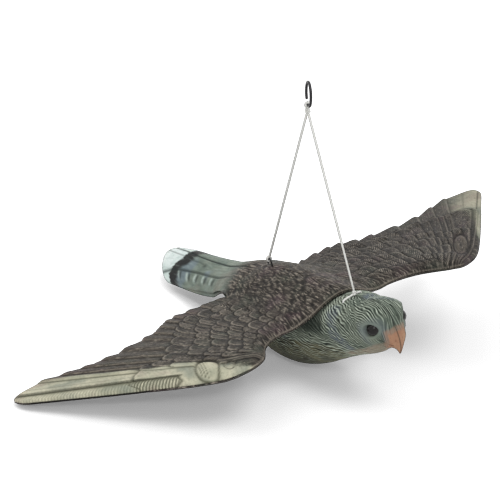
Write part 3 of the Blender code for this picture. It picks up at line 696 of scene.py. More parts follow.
# The first two masks hold painted shade in grooves and painted highlight on raised edges, with the tail's own
# dark and pale marks.
feather_masks = ("shade_and_dark_marks", "highlight_and_pale_marks", "hatch", "olive", "tail", "band")
upper = bmesh.new()
layers = {name: upper.verts.layers.float.new(name) for name in feather_masks}
column_layer, row_layer = upper.verts.layers.int.new("column"), upper.verts.layers.int.new("row")
depth_layer = upper.verts.layers.float.new("depth")
barb_uv = upper.loops.layers.uv.new("barb")
wing_sub, wing_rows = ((14, 132))
tail_rows = 92


def grid_on(bm, columns, rows):
    """A flat grid, with its vertices by column and row."""
    made = bmesh.ops.create_grid(bm, x_segments=columns, y_segments=rows, size=1.0)
    return [(round((v.co.x + 1) / 2 * columns), round((v.co.y + 1) / 2 * rows), v) for v in made["verts"]]


def set_uv(vert, layer, values):
    """Puts a vertex at one place of a UV map."""
    for loop in vert.link_loops:
        loop[layer].uv = values


def strokes(x, y, turn, length=0.0085, width=0.0017, seed=0.0):
    """Short combed strokes, as carved in soft feathers, from -1 to 1."""
    along, across = x * cos(turn) + y * sin(turn), y * cos(turn) - x * sin(turn)
    warp = noise.noise(Vector((x * 60, y * 60, seed + 9))) * 0.0018
    return noise.noise(Vector((along / length, (across + warp) / width, seed)))


plain_level, comb_depth, deepest = 0.0004, 0.0010, -0.0006
oval_sink, oval_line_depth, oval_line_slant = 0.0004, 0.0004, 0.40
oval_pitches = {-1: 0.0026, 1: 0.0032}
oval_swell, left_oval_length = 1.08, 0.025
for side in (-1, 1):
    for column, row, vert in grid_on(upper, wing_sub * wing_places, wing_rows):
        place, share = column / wing_sub, row / wing_rows
        point, height, length = wing_plan(place, share)
        relief, shade_and_dark_marks, highlight_and_pale_marks, hatch, across, barb = feather_relief(side, place, share, point, length)
        front = (1.0 - ease((share - 0.03 - 0.10 * ease((place - 9) / 3)) / 0.05)) * ease((place - 3) / 2)
        calm = max(ease(place - 11.0), front)
        soft = strokes(point.x, side * point.y, side * 0.25, 0.0090, 0.0016)
        fleck = strokes(point.x + 0.3, side * point.y, side * 0.6, 0.0050, 0.0013)
        carved = max(min(soft, 0.5), -0.5)
        relief = relief * (1.0 - calm) + plain_level * calm + comb_depth * carved * (0.15 + 0.75 * calm)
        # Painted shade in the hollows of the combing and painted highlight on its crests.
        shade_and_dark_marks = max(shade_and_dark_marks * (1.0 - calm), ease((-soft - 0.08) / 0.3) * (0.2 + 0.65 * calm))
        combed = ease((soft - 0.08) / 0.3) * (0.15 + 0.55 * calm) * (0.6 + 0.8 * fleck)
        highlight_and_pale_marks = max(highlight_and_pale_marks * (1.0 - calm), combed)
        hatch *= 1 - calm
        for number, oval in enumerate(wrist_ovals[side]):
            middle_x, middle_y, long_x, long_y, wide_x, wide_y, square, rise = oval
            away_x, away_y = point.x - middle_x, point.y - middle_y
            area = long_x * wide_y - long_y * wide_x
            along = (away_x * wide_y - away_y * wide_x) / area
            aside = (away_y * long_x - away_x * long_y) / area
            reach = (abs(along) ** square + abs(aside) ** square) ** (1 / square) / oval_swell
            if reach < 1.6:
                edge_share = ease((reach - 1.0) / 0.3)
                dome = 1.0 - ease((reach - 0.5) / 0.55)
                relief = relief * edge_share + (rise * dome - oval_sink) * (1 - edge_share)
                # Painted shade round the oval and between its lines, painted highlight on its rim and on the
                # lines' crests.
                shade_and_dark_marks = max(shade_and_dark_marks * edge_share, soft_line(reach - 1.06, 0.11))
                across_lines = away_y - oval_line_slant * away_x if side < 0 else along * left_oval_length
                lines = sin(tau * across_lines / oval_pitches[side])
                upper_half = ease((0.25 + 0.3 * along - aside) / 0.5) if side < 0 else 1.0
                within = (1.0 - ease((reach - 0.80) / 0.15)) * upper_half * (number == 0)
                relief += oval_line_depth * lines * within
                rim_light = 0.35 * soft_line(reach - 0.86, 0.1)
                highlight_and_pale_marks = max(highlight_and_pale_marks * edge_share, max(lines, 0) * within, rim_light)
                shade_and_dark_marks = max(shade_and_dark_marks, 0.9 * max(-lines, 0) * within)
                hatch *= edge_share
        border = min(row, wing_rows - row, column)
        at_rim = border == 0 and place < wing_feathers
        if place < wing_feathers:
            relief *= ease(border / 3)
            height -= rim_step * at_rim
        else:
            relief *= ease(min(row / 3, (wing_rows - row) / 10))
        relief = max(relief, deepest)
        # The wing's front edge, where the mouldings part, gets a painted highlight and no groove shade.
        front_rim = (row == 0) * 1.0
        z = back_level(point.x, point.y) + half_gap + wall + height + relief
        vert.co = (point.x, side * point.y, z)
        vert[depth_layer] = wall + relief - rim_step * at_rim
        vert[column_layer], vert[row_layer] = column, row
        olive = wing_paint(side, place, share) * (1 - ease(place - 11.2))
        values = {"shade_and_dark_marks": shade_and_dark_marks * (1 - front_rim), "highlight_and_pale_marks": max(highlight_and_pale_marks, 0.5 * front_rim), "hatch": hatch,
                  "olive": olive, "tail": 0.0, "band": 0.0}
        for name, value in values.items():
            vert[layers[name]] = value
        set_uv(vert, barb_uv, (across * 100, barb * 100))

# Lines between the tail's feathers: place across by share of its length, how strong each is, and
# the share where it begins
tail_lines = [([(0, -0.20), (0.5, -0.13), (0.8, 0.0), (1, 0.20)], 1.0, 0.0),
              ([(0.4, -0.38), (0.7, -0.30), (0.85, -0.22), (1, -0.10)], 0.55, 0.45),
              ([(0, -0.62), (0.3, -0.66), (0.6, -0.66), (0.85, -0.74), (1, -0.86)], 0.9, 0.10),
              ([(0, 0.50), (0.5, 0.62), (1, 0.72)], 0.4, 0.3)]
tail_groove_width, tail_groove_depth, tail_step = 0.0009, 0.0007, 0.0007
tail_comb_depth = 0.0009
mark_rise, mark_depth = 0.0004, 0.0005
left_side_lift, right_side_lift = 0.0024, 0.0030
tail_places = len(back_lines) - 1
tail_barbs = 17.8


def tail_plan(place, share):
    """Share across and plan position on the tail, whose end is rounded at its corners."""
    index = min(int(place), tail_places - 1)
    across = 1.0 - back_lines[index] - (back_lines[index + 1] - back_lines[index]) * (place - index)
    end = tail_tip + tail_corner * (1.0 - sqrt(1.0 - min(across, 0.995) ** 2))
    x = tail_root + (end - tail_root) * share
    return across, x, tail_edge((tail_root - x) / (tail_root - tail_tip)) * across


for side in (-1, 1):
    for column, row, vert in grid_on(upper, wing_sub * tail_places, tail_rows):
        place, share = column / wing_sub, row / tail_rows
        across, x, y = tail_plan(place, share)
        height = tail_crown * ease(place) * (1.0 - ease((share - 0.75) / 0.25))
        aside = side * across
        shade_and_dark_marks, step = 0.0, 0.0
        for line_rows, strength, begin in tail_lines:
            line = read_rows(line_rows, share)
            fade = ease((share - begin) / 0.12)
            gap = (aside - line) * tail_half_width
            shade_and_dark_marks = max(shade_and_dark_marks, strength * fade * soft_line(gap, tail_groove_width))
            step += tail_step * strength * fade * ease(gap / 0.0015 + 0.5) * (1 - ease(gap / 0.02))
        wave = 0.10 * noise.noise(Vector((share * 20, aside * 4, 1)))
        ladder = (share * 9.6 + (1.1 if aside < 0 else 2.4) * aside + wave) % 1.0
        near_marks = exp(-(((aside + 0.80) / 0.09) ** 4))
        near_marks *= ease((share - 0.26) / 0.1) * ease((0.82 - share) / 0.04)
        far_marks = exp(-(((aside - 0.45) / 0.26) ** 4))
        far_marks *= ease((share - 0.12) / 0.1) * ease((0.66 - share) / 0.05)
        marks = max(near_marks, 0.6 * far_marks)
        spot = max(soft_line(aside + 0.40, 0.07) * soft_line(share - 0.52, 0.022),
                   soft_line(aside - 0.86, 0.06) * soft_line(share - 0.60, 0.020))
        mark = soft_line(ladder - 0.5, 0.12) * marks
        mark_light = soft_line(ladder - 0.74, 0.14) * marks
        soft = strokes(x, side * y, 0.0, 0.012, 0.0019)
        brown = 1.0 - ease((share - 0.09 - 0.08 * aside - 0.06 * soft) / 0.20)
        relief = tail_comb_depth * max(min(soft, 0.5), -0.5) * (0.3 + 0.5 * brown)
        relief += step - tail_groove_depth * shade_and_dark_marks + mark_rise * mark_light - mark_depth * mark
        relief *= ease(share / 0.08) * ease(place * wing_sub / 3) * ease((1 - share) * tail_rows / 3)
        lift = left_side_lift * ease((aside - 0.35) / 0.6) * ease((share - 0.55) / 0.4)
        right_side = ease((-aside - 0.45) / 0.5) * ease((share - 0.08) / 0.2) * ease((0.75 - share) / 0.25)
        lift += right_side_lift * right_side
        level = tail_level(x, y) + half_gap + wall + height + relief + lift
        edge = (row == tail_rows or column == 0) and row > 0
        level -= rim_step * edge
        vert.co = (x, side * y, level)
        vert[depth_layer] = wall + relief - rim_step * edge
        vert[column_layer], vert[row_layer] = column, row
        # Painted shade in the combed hollows and painted highlight on their crests, joined with the tail's
        # dark and pale marks.
        combed_groove = ease((-soft - 0.08) / 0.3) * (0.15 + 0.7 * brown)
        combed_ridge = ease((soft - 0.08) / 0.3) * (0.15 + 0.55 * brown)
        values = {"shade_and_dark_marks": max(shade_and_dark_marks, 0.85 * mark, 0.8 * spot, combed_groove), "hatch": 0.0, "olive": 0.0,
                  "highlight_and_pale_marks": max(mark_light, combed_ridge), "tail": 1.0 - brown,
                  "band": share - read_rows(band_rows, aside)}
        for name, value in values.items():
            vert[layers[name]] = value
        set_uv(vert, barb_uv, (y * 100, share * tail_barbs))


inner_rows_step = 6
skin_weld = 0.00001


def close_shell(bm, columns_step, rows_step):
    """Gives a skin its wall: an inner face of fewer, larger faces, joined round the rim."""
    bmesh.ops.remove_doubles(bm, verts=bm.verts, dist=skin_weld)
    depth = bm.verts.layers.float["depth"]
    column, row = bm.verts.layers.int["column"], bm.verts.layers.int["row"]
    doubled = bmesh.ops.extrude_face_region(bm, geom=bm.faces[:], use_keep_orig=True)["geom"]
    inner = {item for item in doubled if isinstance(item, bmesh.types.BMFace)}
    for item in doubled:
        if isinstance(item, bmesh.types.BMVert):
            item.co.z -= item[depth]
    loose = []
    for edge in {edge for face in inner for edge in face.edges}:
        if all(face in inner for face in edge.link_faces):
            a, b = edge.verts
            if a[column] == b[column] and a[column] % columns_step:
                loose.append(edge)
            elif a[row] == b[row] and a[row] % rows_step:
                loose.append(edge)
    bmesh.ops.dissolve_edges(bm, edges=loose, use_verts=True)
    bmesh.ops.recalc_face_normals(bm, faces=bm.faces)


close_shell(upper, wing_sub // 2, inner_rows_step)
upper.transform(bird_place)

feathers, tree, shader = new_material("painted_feathers", srgb(92, 84, 78), 0.6)
shader.inputs["Specular IOR Level"].default_value = 0.12


def read_mask(tree, name):
    """A value that is stored at the vertices of a piece."""
    return add_node(tree, "ShaderNodeAttribute", attribute_name=name).outputs["Fac"]


in_bird = bird_coordinates(tree)
shade_and_dark_marks, highlight_and_pale_marks, hatch, olive, tail, band = (read_mask(tree, name) for name in feather_masks)
patches = speckle(tree, in_bird, 34, 4.0, 0.6)
tints = speckle(tree, stretched(tree, in_bird, (29, 29, 29), (1.0, 0.4, 0.2)), 1.0, 2.0)
flecks = speckle(tree, in_bird, 420, 3.0, 0.65)
grains = speckle(tree, stretched(tree, in_bird, (110, 420, 420)), 1.0, 3.0, 0.6, 0.4)
barb_place = add_node(tree, "ShaderNodeUVMap", uv_map="barb").outputs[0]
barb_axes = add_node(tree, "ShaderNodeSeparateXYZ", ((0, barb_place),)).outputs
slant = work_out(tree, "MULTIPLY_ADD", barb_axes[0], 1.5, multiply(tree, barb_axes[1], 0.62))
slant = work_out(tree, "MULTIPLY_ADD", flecks, 0.08, slant)
barb_spacing = 0.30
wave = work_out(tree, "SINE", multiply(tree, slant, tau / barb_spacing))
barbs = work_out(tree, "MULTIPLY_ADD", wave, 0.5, 0.5)
brushed = spread(tree, speckle(tree, in_bird, 130, 2.0), 0.42, 0.6, 0.15, 1.0)
barb_light = multiply(tree, multiply(tree, spread(tree, barbs, 0.55, 0.95), hatch), brushed)
barb_dark = multiply(tree, spread(tree, barbs, 0.45, 0.05), hatch)

brown = coats(tree, two_tone(tree, patches, 0.35, 0.65, (38, 35, 31), (56, 51, 46)),
              (tints, 0.52, 0.68, 0.75, (54, 59, 50)), (tints, 0.46, 0.32, 0.75, (70, 56, 59)),
              (flecks, 0.55, 0.8, 0.6, (88, 81, 74)))
pale = coats(tree, two_tone(tree, patches, 0.35, 0.65, (157, 158, 138), (195, 191, 168)),
             (tints, 0.5, 0.68, 0.7, (126, 132, 120)), (tints, 0.45, 0.32, 0.5, (158, 142, 130)),
             (flecks, 0.5, 0.8, 0.6, (104, 106, 92)))
sky = coats(tree, two_tone(tree, patches, 0.35, 0.7, (106, 118, 108), (130, 138, 126)),
            (grains, 0.5, 0.8, 0.7, (80, 92, 86)), (tints, 0.5, 0.66, 0.6, (112, 126, 138)),
            (tints, 0.45, 0.3, 0.5, (132, 126, 114)))

ripple = speckle(tree, stretched(tree, in_bird, (60, 260, 200)), 1.0, 2.0)
along = work_out(tree, "ADD", band, work_out(tree, "MULTIPLY_ADD", ripple, 0.07, -0.035))
white_tip = spread(tree, along, 0.038, 0.062)
before_tip = work_out(tree, "SUBTRACT", 1.0, white_tip)
dark_band = multiply(tree, spread(tree, along, -0.085, -0.035), before_tip)
snow = two_tone(tree, patches, 0.4, 0.62, (198, 212, 208), (224, 232, 230))
tail_paint = blend_colour(tree, multiply(tree, dark_band, 0.96), sky, srgb(24, 22, 22))
tail_paint = blend_colour(tree, white_tip, tail_paint, snow)

worn_olive = work_out(tree, "MULTIPLY_ADD", flecks, 0.4, olive)
colour = blend_colour(tree, spread(tree, worn_olive, 0.45, 0.85), brown, pale)
colour = blend_colour(tree, tail, colour, tail_paint)
scratches = speckle(tree, stretched(tree, barb_place, (7.0, 1.3, 1)), 1.0, 3.0, 0.6, 0.5)
on_brown = work_out(tree, "SUBTRACT", 1.0, larger(tree, tail, olive), clamp=True)
scratch_light = multiply(tree, spread(tree, scratches, 0.54, 0.68, 0, 0.8), on_brown)
scratch_dark = multiply(tree, spread(tree, scratches, 0.47, 0.33, 0, 0.85), on_brown)
# Painted highlight colours for the raised edges, which the pale hatch lines and streaks share.
bright = blend_colour(tree, olive, srgb(174, 164, 150), srgb(206, 202, 176))
bright = blend_colour(tree, tail, bright, srgb(190, 204, 196))
light = multiply(tree, highlight_and_pale_marks, spread(tree, flecks, 0.3, 0.6, 0.5, 1.0))
light = larger(tree, larger(tree, light, barb_light), scratch_light)
colour = blend_colour(tree, multiply(tree, light, 0.82), colour, bright)
# Painted shade colours for the grooves, which the dark hatch lines and streaks share.
dark = blend_colour(tree, olive, srgb(18, 15, 14), srgb(84, 84, 68))
dark = blend_colour(tree, tail, dark, srgb(30, 38, 36))
shade = larger(tree, multiply(tree, shade_and_dark_marks, 0.95), multiply(tree, barb_dark, 0.6))
shade = larger(tree, shade, scratch_dark)
colour = blend_colour(tree, shade, colour, dark)
# The left wing gets a painted shade, a little darker all over.
across_bird = add_node(tree, "ShaderNodeSeparateXYZ", ((0, in_bird),)).outputs[1]
colour = coats(tree, colour, (across_bird, 0.03, 0.11, 0.22, (16, 15, 15)))
tree.links.new(colour, shader.inputs["Base Color"])
tree.links.new(spread(tree, flecks, 0.3, 0.8, 0.42, 0.66), shader.inputs["Roughness"])
raised_barbs = multiply(tree, multiply(tree, barbs, hatch), 0.9)
bump(tree, shader, work_out(tree, "MULTIPLY_ADD", grains, 0.5, raised_barbs), 0.0008, 0.9)

finish_top = finish_piece("feather_panel_top", upper, feathers, "bird", "upper_shell")


# Lower moulding of the panel: the plain dark underside, with shallow feather lines in painted
# shade. Its rim shows as a dark edge under the parting line, which carries a painted highlight.
under_belly = 0.0035
under_line_depth, under_tail_line_depth = 0.0005, 0.0004
under = bmesh.new()
under_layers = {name: under.verts.layers.float.new(name) for name in feather_masks}
under_column, under_row = under.verts.layers.int.new("column"), under.verts.layers.int.new("row")
under_depth = under.verts.layers.float.new("depth")
under_barb = under.loops.layers.uv.new("barb")
under_sub, under_wing_rows, under_tail_rows = 8, 66, 46
for side in (-1, 1):
    for column, row, vert in grid_on(under, under_sub * wing_places, under_wing_rows):
        place, share = column / under_sub, row / under_wing_rows
        point, height, length = wing_plan(place, share)
        spot = (place % 1.0) * 2 - 1
        line = soft_line(1 - abs(spot), 0.2) * ease((share - 0.35) / 0.2) * (place < wing_feathers)
        cover = soft_line(share - 0.42 - 0.05 * abs(spot), 0.03) * (place < wing_feathers)
        belly = under_belly * read_rows(crown_rows, share) * ease(place / 1.6) * (1.0 - ease((place - 9) / 3))
        border = min(row, under_wing_rows - row, column) == 0
        inset = rim_step * border * (column < under_sub * wing_feathers)
        relief = -under_line_depth * max(line, cover) * (not border)
        z = back_level(point.x, point.y) - half_gap - wall - belly - relief + inset
        vert.co = (point.x, side * point.y, z)
        vert[under_depth] = -(wall + relief - inset)
        vert[under_column], vert[under_row] = column, row
        # The feather lines of the underside are darkened as painted shade, here and on the tail.
        vert[under_layers["shade_and_dark_marks"]] = max(line, cover)
        set_uv(vert, under_barb, (spot * 0.9, share * length * 100))
    for column, row, vert in grid_on(under, under_sub * tail_places, under_tail_rows):
        place, share = column / under_sub, row / under_tail_rows
        across, x, y = tail_plan(place, share)
        edge = (row == under_tail_rows or column == 0) and row > 0
        line = soft_line(1 - abs((place % 1.0) * 2 - 1), 0.2) * ease((share - 0.1) / 0.2) * (place > 0.3)
        relief = -under_tail_line_depth * line * (not edge)
        vert.co = (x, side * y, tail_level(x, y) - half_gap - wall - relief + rim_step * edge)
        vert[under_depth] = -(wall + relief - rim_step * edge)
        vert[under_column], vert[under_row] = column, row
        vert[under_layers["shade_and_dark_marks"]] = line
        vert[under_layers["tail"]] = ease((share - 0.1) / 0.3)
        vert[under_layers["band"]] = share - read_rows(band_rows, side * across)
        set_uv(vert, under_barb, (y * 100, share * tail_barbs))
close_shell(under, under_sub // 2, inner_rows_step)
under.transform(bird_place)
underside = finish_piece("feather_panel_underside", under, feathers, "bird", "lower_shell")


# The body, neck and head are two closed halves that meet in a seam over the crown and the beak.
# They are carved all over with short hair-like feathers and end in a broad hooked beak.
beak_reach = 0.204
body_half_width = 0.037
body_depth = 0.066
neck_rise = 0.022
beak_base = 0.1972
mouth = (0.1945, -0.0190)
# Sections of the hull by share of the reach: half width, underside and widest level
hull_rows = [
    (-0.373, 0.108, 0.015, 0.061), (-0.324, 0.351, -0.136, 0.030), (-0.221, 0.595, -0.409, -0.045),
    (-0.098, 0.784, -0.652, -0.091), (0.025, 0.905, -0.833, -0.121), (0.147, 0.973, -0.970, -0.152),
    (0.270, 1.000, -1.000, -0.182), (0.392, 0.986, -0.947, -0.182), (0.505, 0.919, -0.841, -0.167),
    (0.588, 0.838, -0.735, -0.136), (0.626, 0.800, -0.690, -0.121)]
# Sections of the neck and head: half width, crest, underside and widest level
head_rows = [
    (0.667, 0.757, 0.820, -0.636, -0.106), (0.701, 0.730, 0.875, -0.598, -0.091),
    (0.740, 0.703, 0.900, -0.553, -0.091), (0.784, 0.676, 0.915, -0.508, -0.076),
    (0.824, 0.662, 0.935, -0.470, -0.061), (0.863, 0.649, 0.960, -0.432, -0.045),
    (0.902, 0.608, 0.932, -0.386, -0.030), (0.931, 0.554, 0.795, -0.326, -0.015),
    (0.951, 0.473, 0.636, -0.300, -0.030), (0.968, 0.350, 0.409, -0.288, -0.061)]
# The beak by the angle round the mouth: front ridge, back edge and half width, in mm
beak_rows = [(-84, 27.6, 0.0, 12.9), (-70, 20.3, 0.2, 11.6), (-62, 16.9, 0.3, 10.8), (-52, 14.2, 0.5, 9.8),
             (-40, 12.1, 0.8, 8.6), (-28, 10.6, 1.3, 7.2), (-8, 9.3, 2.8, 4.9), (12, 8.8, 4.6, 3.0),
             (30, 8.9, 6.4, 1.6), (45, 9.2, 8.5, 0.6)]
# Cross-section of the beak, from its ridge to the side that faces the mouth
beak_profile = [Vector(point) for point in (
    (0, 1), (0.3, 0.935), (0.62, 0.86), (0.9, 0.76), (1, 0.58), (1, 0.34), (0.94, 0.1), (0.6, 0.0),
    (0.3, 0.0), (0, 0.0))]
beak_first_turn, beak_last_turn = beak_rows[0][0], beak_rows[-1][0]
section_low_roundness = 2.2
panel_clearance = 0.0006


def column_of(rows, number):
    """One column of a table, by its first one."""
    return [(row[0], row[number]) for row in rows]


hull_tables = [column_of(hull_rows, number) for number in (1, 2, 3)]
head_tables = [column_of(head_rows, number) for number in (1, 2, 3, 4)]
beak_tables = [column_of(beak_rows, number) for number in (1, 2, 3)]


def section_point(angle, half_width, crest, underside, widest, top_roundness=neck_roundness):
    """A point of a cross-section, by its angle from the top."""
    up = cos(angle) >= 0
    roundness = top_roundness if up else section_low_roundness
    reach = crest - widest if up else widest - underside
    y = half_width * abs(sin(angle)) ** (2 / roundness)
    return y, widest + (1 if up else -1) * reach * abs(cos(angle)) ** (2 / roundness)


def panel_under(x, y):
    """Height of the top of the body, just clear of the panel above it."""
    level = back_level(x, y) if x >= tail_root else tail_level(x, y)
    return level - half_gap - wall - panel_clearance


def body_point(x, angle):
    """A point of the smooth body between the tail and the base of the beak."""
    share = x / beak_reach
    hull_end, head_start = hull_rows[-1][0], head_rows[0][0]

    def hull(at):
        width, underside, widest = (read_rows(table, at) for table in hull_tables)
        y, z = section_point(angle, width * body_half_width, panel_under(at * beak_reach, 0),
                             underside * body_depth, widest * body_depth)
        return y, min(z, panel_under(at * beak_reach, y))

    def head(at):
        width, crest, underside, widest = (read_rows(table, at) for table in head_tables)
        return section_point(angle, width * body_half_width, crest * neck_rise, underside * body_depth,
                             widest * body_depth, neck_roundness - 0.4 * ease((at - 0.76) / 0.09))

    if share <= hull_end:
        y, z = hull(share)
    elif share >= head_start:
        y, z = head(share)
    else:
        t = (share - hull_end) / (head_start - hull_end)
        first, last = hull(hull_end), head(head_start)
        y, z = (a + (b - a) * t for a, b in zip(first, last))
    shear = ease((x - 0.182) / (beak_base - 0.182))
    x += shear * (beak_base - mouth[0]) * min((z - 0.009) / 0.028, 0.0)
    return Vector((x, y, z))


def beak_point(turn, share, angle):
    """A point of the beak, which turns down round the mouth."""
    front, back, half_width = (read_rows(table, turn) / 1000 for table in beak_tables)
    flat = on_line(beak_profile, angle / pi * (len(beak_profile) - 1), True)
    reach = back + (front - back) * flat.y
    around = radians(-turn)
    x, z = mouth[0] + reach * cos(around), mouth[1] + reach * sin(around)
    hooked = Vector((x, half_width * max(flat.x, 0), z))
    return body_point(beak_base, angle).lerp(hooked, ease(share / 0.22))


def hull_stations():
    """Places along the body: coarse under the panel, fine on the neck and head."""
    x, coarse_step, fine_step = -0.0761, 0.0026, 0.0008
    places = []
    while x < beak_base:
        places.append(x)
        x += coarse_step - (coarse_step - fine_step) * ease((x - 0.045) / 0.02)
    return places + [beak_base]


stations = hull_stations()
around_steps = 140
beak_steps = 56
down_steps = len(stations) - 1 + beak_steps
eye_spot = Vector((0.9314 * beak_reach, 0.4595 * body_half_width, 0.1 * neck_rise))
bead_spot = eye_spot - Vector((0.0009, 0.0015, 0.0003))
body_place = {}
for row in range(down_steps + 1):
    arc = 0.0
    for column in range(around_steps + 1):
        angle = pi * column / around_steps
        if row < len(stations):
            smooth_point = body_point(stations[row], angle)
        else:
            share = (row - len(stations) + 1) / beak_steps
            turn = beak_first_turn + (beak_last_turn - beak_first_turn) * share ** 0.92
            smooth_point = beak_point(turn, share, angle)
        if column:
            arc += (smooth_point - body_place[row, column - 1][0]).length
        body_place[row, column] = (smooth_point, arc)

hair, tree, shader = new_material("carved_head", srgb(110, 130, 118), 0.6)
shader.inputs["Specular IOR Level"].default_value = 0.14
# Hair lines of the neck, of the breast and of the crown: slope in degrees, spacing in centimetres
hair_fields = [(36, 0.29), (11, 0.31), (4, 0.22)]
# The first mask holds painted shade in the nostril, along the gape and under the panel's front edge.
hair_masks = ("shade_and_dark_marks", "press", "bend", "crown", "low", "beak",
              "cere", "tan", "olive", "blue", "rim", "seam")
hair_slant = 0.5
hair_rise = 0.0010
brow_rise = 0.0027
eye_dip, eye_dip_radius = 0.0030, 0.0050
nape_groove = 0.0012
seam_width, seam_depth = 0.0006, 0.00022
nostril_spot, nostril_radius, nostril_depth = Vector((0.2020, 0.0036, -0.0115)), 0.0009, 0.0007
flat_cheek = 0.006
hair_weld = 0.0000005


def hair_wave(x, arc, field, bend):
    """One field of carved lines, from -1 to 1, from a place in centimetres."""
    slope, spacing = hair_fields[field]
    across = arc * cos(radians(slope)) - x * sin(radians(slope))
    return sin(tau * (across / spacing + bend))


def body_half(side):
    """One closed half of the body and head, carved and with the masks of its paint."""
    bm = bmesh.new()
    marks = {name: bm.verts.layers.float.new(name) for name in hair_masks}
    hair_uv = bm.loops.layers.uv.new("hair")
    for column, row, vert in grid_on(bm, around_steps + 1, down_steps):
        column = 0 if column > around_steps else column
        point, arc = body_place[row, column]
        ahead = body_place[min(row + 1, down_steps), column][0]
        behind = body_place[max(row - 1, 0), column][0]
        left = body_place[row, max(column - 1, 0)][0]
        right = body_place[row, min(column + 1, around_steps)][0]
        normal = (ahead - behind).cross(right - left)
        normal = normal.normalized() if normal.length > 1e-12 else Vector((0, 0, 0))
        x, y, z = point
        in_beak = row - len(stations) + 1
        beak_mask = ease((-0.0030 - z - 0.08 * y) / 0.0014) * ease((0.0096 - y) / 0.0009) * (in_beak > 0)
        crown = ease((z - 0.004) / 0.010) * ease((x - 0.150) / 0.02)
        low = max(ease((-0.008 - z) / 0.010), ease((0.12 - x) / 0.02)) * (1 - crown)
        along = x * cos(hair_slant) + arc * sin(hair_slant)
        aside = arc * cos(hair_slant) - x * sin(hair_slant)
        bend = noise.noise(Vector((x * 60, arc * 80, side * 3.0)))
        bend += 0.55 * noise.noise(Vector((x * 190, arc * 220, side * 5.0)))
        press = 0.80 + 1.5 * noise.noise(Vector((along * 110, aside * 300, side * 7.0)))
        pressed = min(max(press, 0), 1)
        waves = [hair_wave(x * 100, arc * 100, field, bend) for field in range(3)]
        soft = waves[0] + (waves[1] - waves[0]) * low
        soft = (soft + (waves[2] - soft) * crown) * pressed * 0.45
        outside = y > flat_cheek
        across_eye = sqrt((x - bead_spot.x) ** 2 + (z - bead_spot.z) ** 2)
        dip = eye_dip * (1 - ease((across_eye - eye_dip_radius) / 0.0012)) * outside
        socket = soft_line(across_eye - 0.0070, 0.0010) * outside
        brow = soft_line(across_eye - 0.0098, 0.0028) * (0.06 + 0.94 * ease((z - 0.001) / 0.006))
        over_brow = 0.8 * soft_line(across_eye - 0.0110, 0.0055) * ease((z - 0.004) / 0.006)
        brow = max(brow, over_brow) * outside
        cheek = 0.5 * ease((x - 0.162) / 0.02) * (1 - crown)
        calm = (1 - beak_mask) * ease((across_eye - 0.0070) / 0.003) * (1 - cheek)
        under_panel = ease((panel_under(x, y) - z - 0.0005) / 0.003) if x < 0.1285 else 1.0
        low_relief = 0.4 + 0.6 * ease((z + 0.050) / 0.02)
        lift = hair_rise * soft * calm * under_panel * low_relief + brow_rise * brow * (1 - beak_mask)
        lift -= nape_groove * soft_line(x - 0.1645, 0.0032) * ease((z - 0.008) / 0.006)
        seam = soft_line(y, seam_width)
        lift -= seam_depth * seam * ease((x - 0.12) / 0.01) * (z > -0.03 or in_beak > 0)
        lift = (lift - dip) * ease(min(row, down_steps - row) / 2)
        hole = soft_line((nostril_spot - point).length, nostril_radius) * (in_beak > 0)
        lift -= nostril_depth * hole
        placed = point + normal * lift
        gape = soft_line(z + 0.0105 + 0.9 * (x - 0.1965), 0.0007) * ease((x - 0.1925) / 0.002) * outside
        vert.co = (placed.x, side * (max(placed.y, 0) + half_gap), placed.z)
        # Painted shade on the neck just under the front edge of the panel.
        shade_below_panel = ease((0.1335 - x) / 0.006) * ease((z + 0.016) / 0.01)
        above_beak = ease((0.0012 - z - 0.05 * y) / 0.002) * ease((0.0125 - y) / 0.002) * (in_beak > 0)
        values = {"shade_and_dark_marks": max(hole, 0.8 * gape, 0.85 * shade_below_panel), "press": pressed * calm * low_relief,
                  "bend": bend, "crown": crown, "low": low, "beak": beak_mask, "cere": above_beak,
                  "tan": ease((-z - 0.009 - 0.35 * (0.190 - x)) / 0.008) * ease((x - 0.135) / 0.025),
                  "olive": ease((-z - 0.018) / 0.012) * (1 - ease((x - 0.135) / 0.02)),
                  "blue": noise.noise(Vector((x * 45, side * arc * 45, 8))), "rim": socket, "seam": seam}
        for name, value in values.items():
            vert[marks[name]] = value
        set_uv(vert, hair_uv, (x * 100, arc * 100))
    bmesh.ops.remove_doubles(bm, verts=bm.verts, dist=hair_weld)
    ends = [edge for edge in bm.edges if edge.is_boundary]
    bmesh.ops.holes_fill(bm, edges=ends)
    bmesh.ops.recalc_face_normals(bm, faces=bm.faces)
    bm.transform(bird_place)
    word = "right" if side < 0 else "left"
    made = finish_piece("head_and_body_" + word, bm, hair, "bird", "body_shell_" + word)


in_bird = bird_coordinates(tree)
shade_and_dark_marks, press, bend, crown, low, beak, cere, tan, olive, blue, rim, seam = (
    read_mask(tree, name) for name in hair_masks)
patches = speckle(tree, in_bird, 42, 3.0, 0.6)
flecks = speckle(tree, in_bird, 480, 3.0, 0.65)
hair_place = add_node(tree, "ShaderNodeUVMap", uv_map="hair").outputs[0]
strands = speckle(tree, stretched(tree, hair_place, (1.2, 9.0, 1)), 1.0, 3.0, 0.6, 0.5)
hair_axes = add_node(tree, "ShaderNodeSeparateXYZ", ((0, hair_place),)).outputs


def hair_lines(slope, spacing):
    """The carved lines of one field, from 0 in the grooves to 1 on the ridges."""
    across = multiply(tree, hair_axes[1], cos(radians(slope)) / spacing)
    across = work_out(tree, "MULTIPLY_ADD", hair_axes[0], -sin(radians(slope)) / spacing, across)
    wave = work_out(tree, "SINE", multiply(tree, work_out(tree, "ADD", across, bend), tau))
    return work_out(tree, "MULTIPLY_ADD", wave, 0.5, 0.5)


